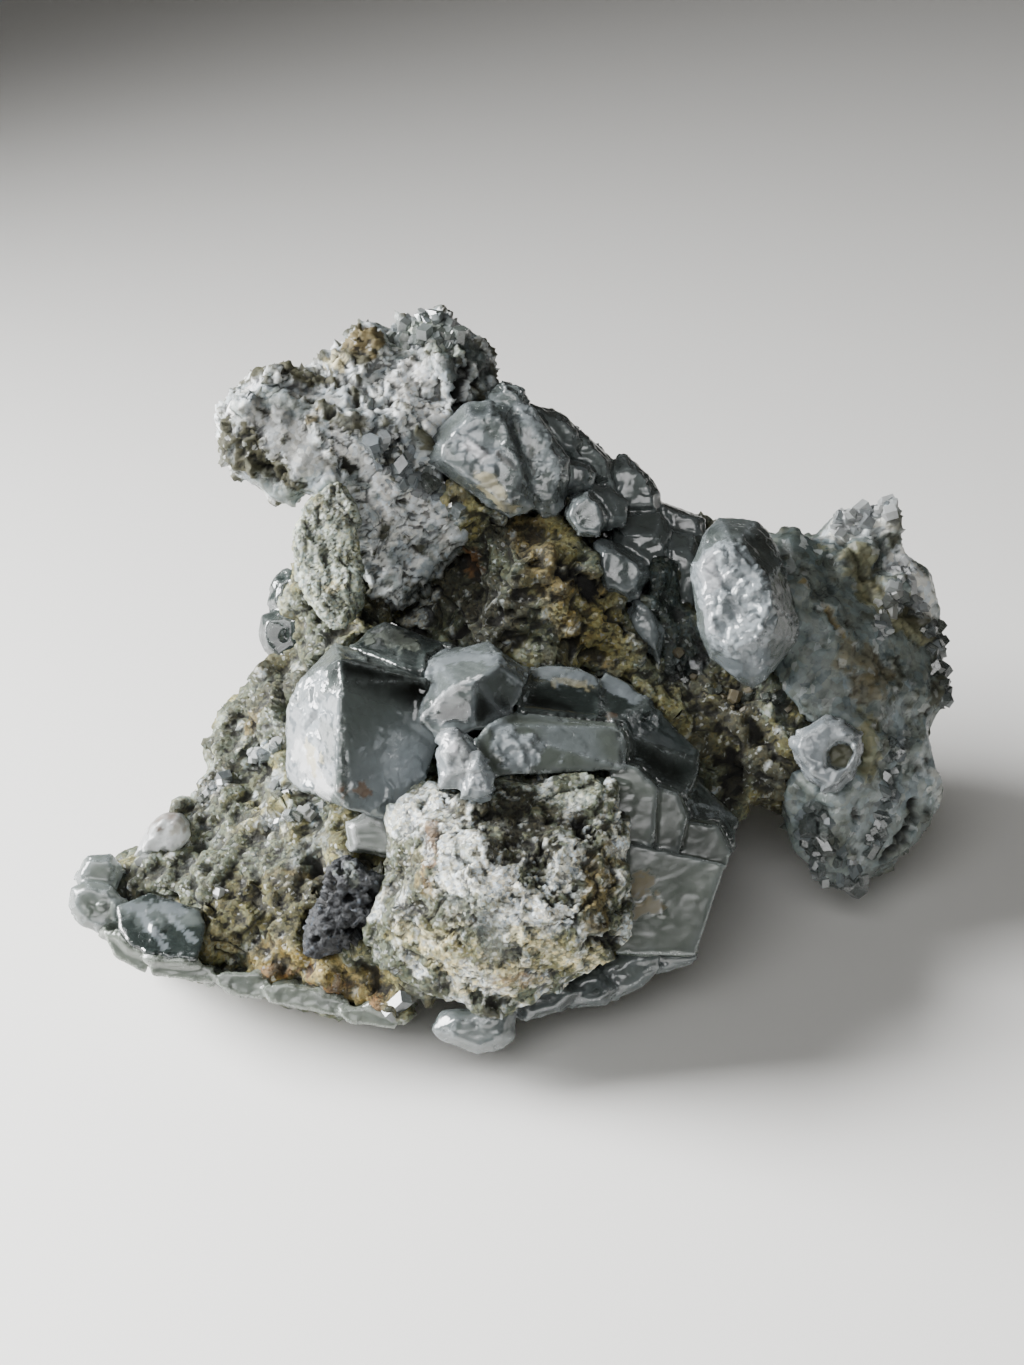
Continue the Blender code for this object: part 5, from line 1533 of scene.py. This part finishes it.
def calcite_prism() -> tuple[np.ndarray, list[tuple[int, ...]]]:
    """A six-sided prism with the three flat faces of a calcite cap.

    Returns:
        Its corners, one wide and about one high, and its faces.
    """
    foot = [(math.cos(step * math.pi / 3), math.sin(step * math.pi / 3), -0.8) for step in range(6)]
    rim = [(math.cos(step * math.pi / 3), math.sin(step * math.pi / 3), 1.0 - 0.35 * (step % 2)) for step in range(6)]
    sides = [(step, (step + 1) % 6, 6 + (step + 1) % 6, 6 + step) for step in range(6)]
    caps = [(12, 6 + step, 6 + (step + 1) % 6, 6 + (step + 2) % 6) for step in (1, 3, 5)]
    return np.array(foot + rim + [(0.0, 0.0, 1.35)]), sides + caps + [(5, 4, 3, 2, 1, 0)]


@dataclass(frozen=True)
class BlackCard:
    """A matt black card that keeps the window's light off the far end of the table.

    Attributes:
        colour: Its sRGB colour.
    """

    colour: str = "#141414"

    def material(self) -> bpy.types.Material:
        """Builds the material and returns it."""
        material, tree, shader = blank("matt_black_card")
        at = add_node(tree, "ShaderNodeTexCoord").outputs["Object"]
        fibre = add_node(tree, "ShaderNodeTexNoise", {}, {"Vector": at, "Scale": per_mm(0.5), "Detail": 3.0})
        bump = add_node(
            tree, "ShaderNodeBump", {}, {"Height": fibre.outputs["Fac"], "Distance": 0.02 * MM, "Strength": 0.5}
        )
        shader.inputs["Base Color"].default_value = (*linear(self.colour), 1.0)
        shader.inputs["Roughness"].default_value = 0.9
        tree.links.new(bump.outputs[0], shader.inputs["Normal"])
        return material


TABLE_TOP = ((-2.5, -2.5, 0.0), (2.5, -2.5, 0.0), (2.5, 2.5, 0.0), (-2.5, 2.5, 0.0))
WINDOW_CARD = ((-0.27, 0.115, 0.001), (-0.27, 1.2, 0.001), (-0.27, 1.2, 0.9), (-0.27, 0.115, 0.9))


@dataclass
class Studio:
    """A pale table, a window to the left with a card beside it, and the camera.

    Attributes:
        window_place: The middle of the window in metres.
        window_size: Its width and height in metres.
        window_power: Its light in watts.
        fill_power: The light of the room from the front, in watts.
        sky: The grey of the room.
        sky_strength: How bright the room is.
    """

    window_place: tuple[float, float, float] = (-0.49, 0.08, 0.285)
    window_size: tuple[float, float] = (0.42, 0.34)
    window_power: float = 12.8
    fill_power: float = 0.85
    sky: str = "#ccc6b6"
    sky_strength: float = 0.07

    def build(self) -> None:
        """Puts up the table, the card, the lights and the camera."""
        self.stand_sheet("table", TABLE_TOP, PaleTable().material())
        self.stand_sheet("window_card", WINDOW_CARD, BlackCard().material())
        self.light("window", self.window_place, (0.0, 0.0, 0.0), self.window_size, self.window_power, 140.0)
        self.light("room", (-0.15, -0.6, 0.6), (0.0, -0.16, 0.0), (0.6, 0.4), self.fill_power, 90.0)
        self.fill_room()
        self.place_camera()

    def stand_sheet(self, name: str, corners: tuple[tuple[float, float, float], ...], finish: bpy.types.Material) -> None:
        """A flat sheet of the studio.

        Args:
            name: Its name.
            corners: Its four corners in metres.
            finish: Its material.
        """
        mesh = bpy.data.meshes.new(name)
        mesh.from_pydata(corners, [], [(0, 1, 2, 3)])
        mesh.materials.append(finish)
        sheet = bpy.data.objects.new(name, mesh)
        bpy.context.scene.collection.objects.link(sheet)

    def light(
        self,
        name: str,
        place: tuple[float, float, float],
        aim: tuple[float, float, float],
        size: tuple[float, float],
        power: float,
        spread: float,
    ) -> None:
        """An area light.

        Args:
            name: Its name.
            place: Its middle in metres.
            aim: The point that it faces in metres.
            size: Its width and height in metres.
            power: Its light in watts.
            spread: The angle that its light fills, in degrees.
        """
        data = bpy.data.lights.new(name, "AREA")
        data.shape = "RECTANGLE"
        data.size, data.size_y = size
        data.energy = power
        data.spread = math.radians(spread)
        lamp = bpy.data.objects.new(name, data)
        lamp.location = place
        lamp.rotation_euler = (Vector(aim) - lamp.location).to_track_quat("-Z", "Y").to_euler()
        bpy.context.scene.collection.objects.link(lamp)

    def fill_room(self) -> None:
        """The even grey light of the room."""
        world = bpy.data.worlds.new("room")
        bpy.context.scene.world = world
        world.use_nodes = True
        background = world.node_tree.nodes["Background"]
        background.inputs["Color"].default_value = (*linear(self.sky), 1.0)
        background.inputs["Strength"].default_value = self.sky_strength

    def place_camera(self) -> None:
        """The camera, which looks from the front, 33 degrees above the table."""
        data = bpy.data.cameras.new("camera")
        data.sensor_fit = "VERTICAL"
        data.sensor_height = 36.0
        data.lens = 36.0 * EYE_DISTANCE / SHEET_HEIGHT
        data.clip_start = 0.01
        camera = bpy.data.objects.new("camera", data)
        camera.location = (SHEET_PLACE + TOWARD_EYE * EYE_DISTANCE) * MM
        camera.rotation_euler = (-TOWARD_EYE).to_track_quat("-Z", "Y").to_euler()
        bpy.context.scene.collection.objects.link(camera)
        bpy.context.scene.camera = camera


CRYSTALS = (
    CrystalPiece(
        "left_front_crystal",
        "dark_crystal",
        Finish.DARK_CRYSTAL,
        Mineral.GREY,
        Mineral.GREY,
        0.45,
        0.5,
        seed=11,
        marks=(
            Mark(Mineral.ICE, ((34.0, 81.0), (39.0, 79.5), (42.5, 77.0)), 8.5, 0.95, 0.04, 1.0, True),
            Mark(Mineral.GREEN_BLACK, ((34.5, 66.5), (38.5, 67.5), (42.0, 69.0)), 3.4, 1.0, 0.1, 0.9),
            Mark(Mineral.GREY, ((35.0, 65.2), (42.0, 66.0)), 1.0, 0.8, 0.1, 0.6),
            Mark(Mineral.ICE, ((31.0, 71.0),), 9.0, 0.9, 0.1, 0.2, True),
            Mark(Mineral.FOIL, ((30.5, 69.5), (31.5, 73.0)), 2.2, 0.7, 0.6),
            Mark(Mineral.WHITE, ((30.4, 75.0), (32.0, 79.0)), 1.6, 0.9, 0.7, 0.3),
            Mark(Mineral.GREY, ((32.6, 73.0), (33.0, 75.5)), 1.1, 0.7, 0.6),
            Mark(Mineral.CREAM, ((30.8, 74.6), (31.6, 76.6)), 0.8, 0.8, 0.8),
            Mark(Mineral.RUST, ((34.6, 79.3), (36.4, 79.0)), 0.7, 0.9, 0.8),
        ),
    ),
    CrystalPiece(
        "back_left_crystal",
        "dark_crystal",
        Finish.DARK_CRYSTAL,
        Mineral.DARK_GREY,
        Mineral.GREY,
        0.5,
        0.5,
        seed=12,
        marks=(Mark(Mineral.MICA, ((38.2, 63.4), (40.8, 64.4)), 1.6, 0.9, 0.6),),
    ),
    CrystalPiece(
        "middle_crystals",
        "dark_crystal",
        Finish.DARK_CRYSTAL,
        Mineral.GREY,
        Mineral.ICE,
        0.45,
        0.5,
        broken=0.3,
        seed=13,
        marks=(
            Mark(Mineral.GREEN_BLACK, ((45.0, 71.5), (50.0, 71.0)), 2.0, 0.85, 0.2, 0.8),
            Mark(Mineral.ICE, ((43.6, 66.6), (46.5, 65.4), (49.8, 66.0)), 1.2, 0.7, 0.8),
            Mark(Mineral.WHITE, ((42.2, 71.8), (44.8, 69.0), (48.0, 67.6)), 0.4, 0.9, 0.8),
        ),
    ),
    CrystalPiece(
        "dark_plate_crystals",
        "dark_crystal",
        Finish.DARK_CRYSTAL,
        Mineral.DARK_GREY,
        Mineral.GREY,
        0.5,
        0.6,
        seed=14,
        marks=(
            Mark(Mineral.GREEN_BLACK, ((54.0, 70.5), (56.5, 71.0)), 1.6, 0.8, 0.4, 0.6),
            Mark(Mineral.GREEN_BLACK, ((64.0, 73.0), (67.0, 77.0)), 2.4, 0.7, 0.2, 0.8),
            Mark(Mineral.ICE, ((55.0, 67.4), (60.0, 67.8), (63.5, 69.4)), 2.0, 0.95, 0.5),
            Mark(Mineral.CREAM, ((56.0, 68.2), (58.5, 68.4)), 0.7, 0.5, 0.8),
            Mark(Mineral.RUST, ((61.0, 71.5),), 0.6, 0.7, 0.8),
        ),
    ),
    CrystalPiece(
        "pale_plate_crystals",
        "pale_crystal",
        Finish.PALE_CRYSTAL,
        Mineral.PALE,
        Mineral.ICE,
        0.35,
        0.45,
        broken=0.0,
        seed=15,
        marks=(
            Mark(Mineral.FOIL, ((50.0, 74.0), (53.5, 75.0), (51.5, 76.5)), 1.9, 0.8, 0.6),
            Mark(Mineral.ICE, ((57.0, 74.0),), 4.0, 0.5, 0.1, 0.5, True),
            Mark(Mineral.OCHRE, ((63.0, 89.2), (65.0, 88.0)), 0.9, 0.8, 0.7),
            Mark(Mineral.OCHRE, ((64.0, 91.0), (66.0, 90.2)), 0.7, 0.7, 0.7),
        ),
    ),
    CrystalPiece(
        "block_top_crystals",
        "ice_crystal",
        Finish.ICE_CRYSTAL,
        Mineral.ICE,
        Mineral.SUGARY,
        0.4,
        0.4,
        broken=1.0,
        seed=16,
        waves=0.1,
        marks=(
            Mark(Mineral.SUGARY, ((45.5, 74.0), (46.5, 76.0)), 1.2, 0.6, 0.8),
            Mark(Mineral.GLARE, ((44.6, 73.6), (45.4, 75.0)), 0.5, 0.8, 0.8),
            Mark(Mineral.FOIL, ((49.0, 73.5), (53.5, 75.0), (50.5, 76.5)), 2.0, 0.8, 0.6),
        ),
    ),
    CrystalPiece("button_crystal", "ice_crystal", Finish.ICE_CRYSTAL, Mineral.GREY, Mineral.ICE, 0.3, 0.6, seed=17),
    CrystalPiece(
        "arm_crystals",
        "ice_crystal",
        Finish.ICE_CRYSTAL,
        Mineral.GREY,
        Mineral.ICE,
        0.5,
        0.5,
        broken=0.45,
        seed=18,
        waves=0.06,
        marks=(
            Mark(Mineral.DARK_GREY, ((47.5, 41.2), (51.0, 41.6), (51.6, 45.0)), 1.5, 0.8, 0.3, 0.6),
            Mark(Mineral.ICE, ((46.5, 43.5), (49.0, 46.0)), 2.2, 0.9, 0.2, 0.6),
            Mark(Mineral.GLARE, ((47.0, 44.6), (48.2, 45.6)), 0.7, 0.9, 0.5, 0.6),
            Mark(Mineral.CREAM, ((48.2, 47.8), (51.0, 51.0)), 1.1, 0.9, 0.5),
            Mark(Mineral.OLIVE_CRUST, ((51.4, 42.0), (53.0, 45.0), (53.4, 47.6)), 0.35, 0.8, 0.7),
            Mark(Mineral.SHADE, ((49.7, 45.3), (51.4, 46.8), (52.8, 48.2)), 0.32, 0.9, 0.5),
            Mark(Mineral.FOIL, ((52.4, 41.0), (54.6, 43.5), (55.0, 47.0)), 1.2, 0.8, 0.7),
            Mark(Mineral.GREY, ((54.6, 48.6), (55.6, 51.0)), 1.3, 0.9, 0.3),
        ),
    ),
    CrystalPiece(
        "ridge_crystals",
        "dark_crystal",
        Finish.DARK_CRYSTAL,
        Mineral.GREY,
        Mineral.ICE,
        0.5,
        0.3,
        broken=0.35,
        waves=0.1,
        seed=19,
    ),
    CrystalPiece(
        "recess_crystals", "ice_crystal", Finish.ICE_CRYSTAL, Mineral.GREY, Mineral.ICE, 0.7, 0.5, seed=20, waves=0.08
    ),
    CrystalPiece(
        "bright_crystal",
        "ice_crystal",
        Finish.ICE_CRYSTAL,
        Mineral.GREY,
        Mineral.ICE,
        0.5,
        0.4,
        seed=21,
        marks=(
            Mark(Mineral.FOIL, ((72.0, 57.0), (73.5, 60.0), (74.0, 62.5)), 3.9, 1.0, 0.12, 0.2),
            Mark(Mineral.GLARE, ((70.6, 56.0), (71.2, 59.0), (70.8, 62.0)), 1.3, 0.55, 0.9, 0.8),
            Mark(Mineral.ICE, ((73.0, 66.5), (76.0, 66.0)), 2.0, 0.9, 0.2),
            Mark(Mineral.DARK_GREY, ((71.5, 53.0), (75.0, 53.5), (78.0, 56.0)), 1.5, 0.45, 0.2, 0.6),
        ),
    ),
    CrystalPiece(
        "knob_crystal",
        "ice_crystal",
        Finish.ICE_CRYSTAL,
        Mineral.ICE,
        Mineral.SUGARY,
        0.5,
        0.4,
        broken=0.6,
        seed=22,
        marks=(Mark(Mineral.YELLOW_SCHIST, ((84.0, 75.2),), 1.7, 0.8, 0.3),),
    ),
    CrystalPiece(
        "left_edge_crystals", "ice_crystal", Finish.ICE_CRYSTAL, Mineral.DARK_GREY, Mineral.GREY, 0.5, 0.7, seed=23
    ),
    CrystalPiece(
        "slab_tip_crystals", "pale_crystal", Finish.PALE_CRYSTAL, Mineral.PALE, Mineral.ICE, 0.5, 0.5, seed=24
    ),
    CrystalPiece(
        "slab_blue_crystals",
        "pale_crystal",
        Finish.PALE_CRYSTAL,
        Mineral.DARK_GREY,
        Mineral.DARK_GREY,
        0.4,
        0.4,
        broken=0.1,
        seed=25,
        marks=(
            Mark(Mineral.GREY, ((12.0, 91.0), (19.0, 92.0)), 1.6, 0.9, 0.5, 0.8),
            Mark(Mineral.ICE, ((12.4, 90.6), (18.0, 90.8)), 0.7, 0.6, 0.8),
            Mark(Mineral.ICE, ((14.0, 91.5), (16.4, 94.6)), 0.4, 0.7, 0.9),
            Mark(Mineral.ICE, ((17.0, 91.5), (19.6, 94.4)), 0.35, 0.7, 0.9),
            Mark(Mineral.CREAM, ((11.6, 92.0), (13.5, 95.6), (19.0, 96.6)), 0.6, 0.8, 0.9),
        ),
    ),
    CrystalPiece(
        "slab_edge_plates", "pale_crystal", Finish.PALE_CRYSTAL, Mineral.PALE, Mineral.MICA, 0.9, 0.7, seed=26, broken=0.15, swell=0.8
    ),
    CrystalPiece(
        "slab_pale_crystal", "pale_crystal", Finish.PALE_CRYSTAL, Mineral.PALE, Mineral.WHITE, 0.5, 0.4, seed=27
    ),
    CrystalPiece(
        "orange_stained_crystal",
        "stained_crystal",
        Finish.ICE_CRYSTAL,
        Mineral.SUGARY,
        Mineral.WHITE,
        0.5,
        0.5,
        seed=28,
        marks=(Mark(Mineral.RUST, ((15.4, 82.0), (18.4, 82.3)), 1.1, 0.9, 0.6), Mark(Mineral.OCHRE, ((17.6, 83.2),), 1.0, 0.7)),
    ),
    CrystalPiece(
        "base_fringe_crystals", "pale_crystal", Finish.PALE_CRYSTAL, Mineral.GREY, Mineral.ICE, 0.5, 0.35, seed=29,
        broken=0.2, marks=(Mark(Mineral.SUGARY, ((42.0, 101.0), (45.0, 103.5), (48.0, 102.5)), 2.2, 0.15, 0.9), Mark(Mineral.DARK_GREY, ((52.0, 100.5), (60.0, 99.0)), 2.0, 0.8, 0.5)),
    ),
)

ROCKS = (WhiteArm(), SchistFlake(), GraphitePatch(), FrontBlock(), RightBlock(), MatrixRock())

SMALL_CRYSTALS = {
    "white_calcite_arm": (
        GrownCrystals(
            "arm_top_crystals",
            "ice_crystal",
            Finish.ICE_CRYSTAL,
            ((((40.6, 33.4), (43.5, 32.0), (45.0, 33.5)), 2.2, 90),),
            (0.35, 0.8),
            seed=41,
        ),
        GrownCrystals(
            "arm_small_crystals",
            "ice_crystal",
            Finish.ICE_CRYSTAL,
            ((((38.5, 45.0), (41.0, 47.0), (43.5, 48.5)), 2.4, 60),),
            (0.4, 1.0),
            seed=42,
        ),
    ),
    "matrix_rock": (
        GrownCrystals(
            "recess_small_crystals",
            "ice_crystal",
            Finish.ICE_CRYSTAL,
            (
                (((43.0, 52.0), (45.5, 51.0)), 1.0, 14),
                (((44.0, 54.0), (47.0, 53.5)), 1.0, 14),
                (((41.0, 53.0), (42.0, 58.0)), 1.6, 30),
            ),
            (0.4, 0.95),
            seed=43,
        ),
        GrownCrystals(
            "right_small_crystals",
            "ice_crystal",
            Finish.ICE_CRYSTAL,
            ((((68.0, 66.5), (73.0, 69.5), (78.0, 70.5)), 1.8, 40),),
            (0.35, 0.8),
            colours=(Mineral.DARK_GREY, Mineral.GREY, Mineral.OCHRE),
            seed=44,
        ),
        GrownCrystals(
            "slab_small_crystals",
            "pale_crystal",
            Finish.PALE_CRYSTAL,
            (
                (((20.2, 89.4), (22.4, 89.2)), 0.5, 3),
                (((27.6, 78.0), (28.4, 80.4)), 0.7, 7),
                (((24.6, 76.0), (28.0, 74.6)), 0.8, 16),
                (((20.4, 79.4), (22.2, 78.0)), 0.7, 12),
                (((25.5, 82.6), (30.0, 81.6), (34.6, 80.6)), 0.9, 22),
                (((10.0, 92.0), (12.0, 94.0), (14.5, 96.0)), 0.8, 16),
                (((14.5, 83.5), (17.5, 85.5)), 0.9, 12),
            ),
            (0.3, 0.75),
            colours=(Mineral.ICE, Mineral.PALE, Mineral.SUGARY),
            seed=45,
        ),
        GrownCrystals(
            "base_small_crystals",
            "pale_crystal",
            Finish.PALE_CRYSTAL,
            ((((40.0, 101.0), (44.0, 103.0), (48.0, 102.5), (52.0, 100.5)), 1.5, 45),),
            (0.5, 1.2),
            colours=(Mineral.ICE, Mineral.GREY, Mineral.SUGARY),
            seed=46,
        ),
    ),
    "right_calcite_block": (
        GrownCrystals(
            "right_block_crystals",
            "grey_calcite",
            Finish.ICE_CRYSTAL,
            (
                (((81.0, 82.0), (82.5, 86.0), (85.0, 88.5)), 2.4, 60),
                (((91.0, 60.0), (93.5, 64.0), (94.5, 69.0)), 1.4, 50),
                (((94.0, 74.5), (94.6, 80.0), (91.5, 84.5)), 1.3, 40),
            ),
            (0.35, 0.95),
            colours=(Mineral.GREY, Mineral.ICE, Mineral.GREY, Mineral.GREY),
            seed=47,
        ),
        GrownCrystals(
            "prong_crystals",
            "grey_calcite",
            Finish.ICE_CRYSTAL,
            ((((84.5, 52.5), (88.5, 50.5)), 1.6, 60), (((90.5, 57.0), (94.0, 60.0)), 1.5, 50)),
            (0.35, 0.9),
            colours=(Mineral.ICE, Mineral.SUGARY, Mineral.WHITE),
            seed=48,
        ),
    ),
}


def main() -> None:
    """Builds the rocks, the crystals, the small crystals on them and the studio, and reports each piece."""
    skins = {}
    for rock in ROCKS:
        skins[rock.node] = rock.build()
        for growth in SMALL_CRYSTALS.get(rock.node, ()):
            grown = growth.build(skins[rock.node], solid_of(rock.node))
            LOG.info("%s: %d faces", grown.name, len(grown.data.polygons))
        piece = rock.dress(skins[rock.node])
        LOG.info("%s: %d faces", piece.name, len(piece.data.polygons))
    for crystal in CRYSTALS:
        piece = crystal.dress(crystal.build())
        LOG.info("%s: %d faces", piece.name, len(piece.data.polygons))
    Studio().build()


if __name__ == "__main__":
    logging.basicConfig(level=logging.INFO, format="%(message)s")
    main()
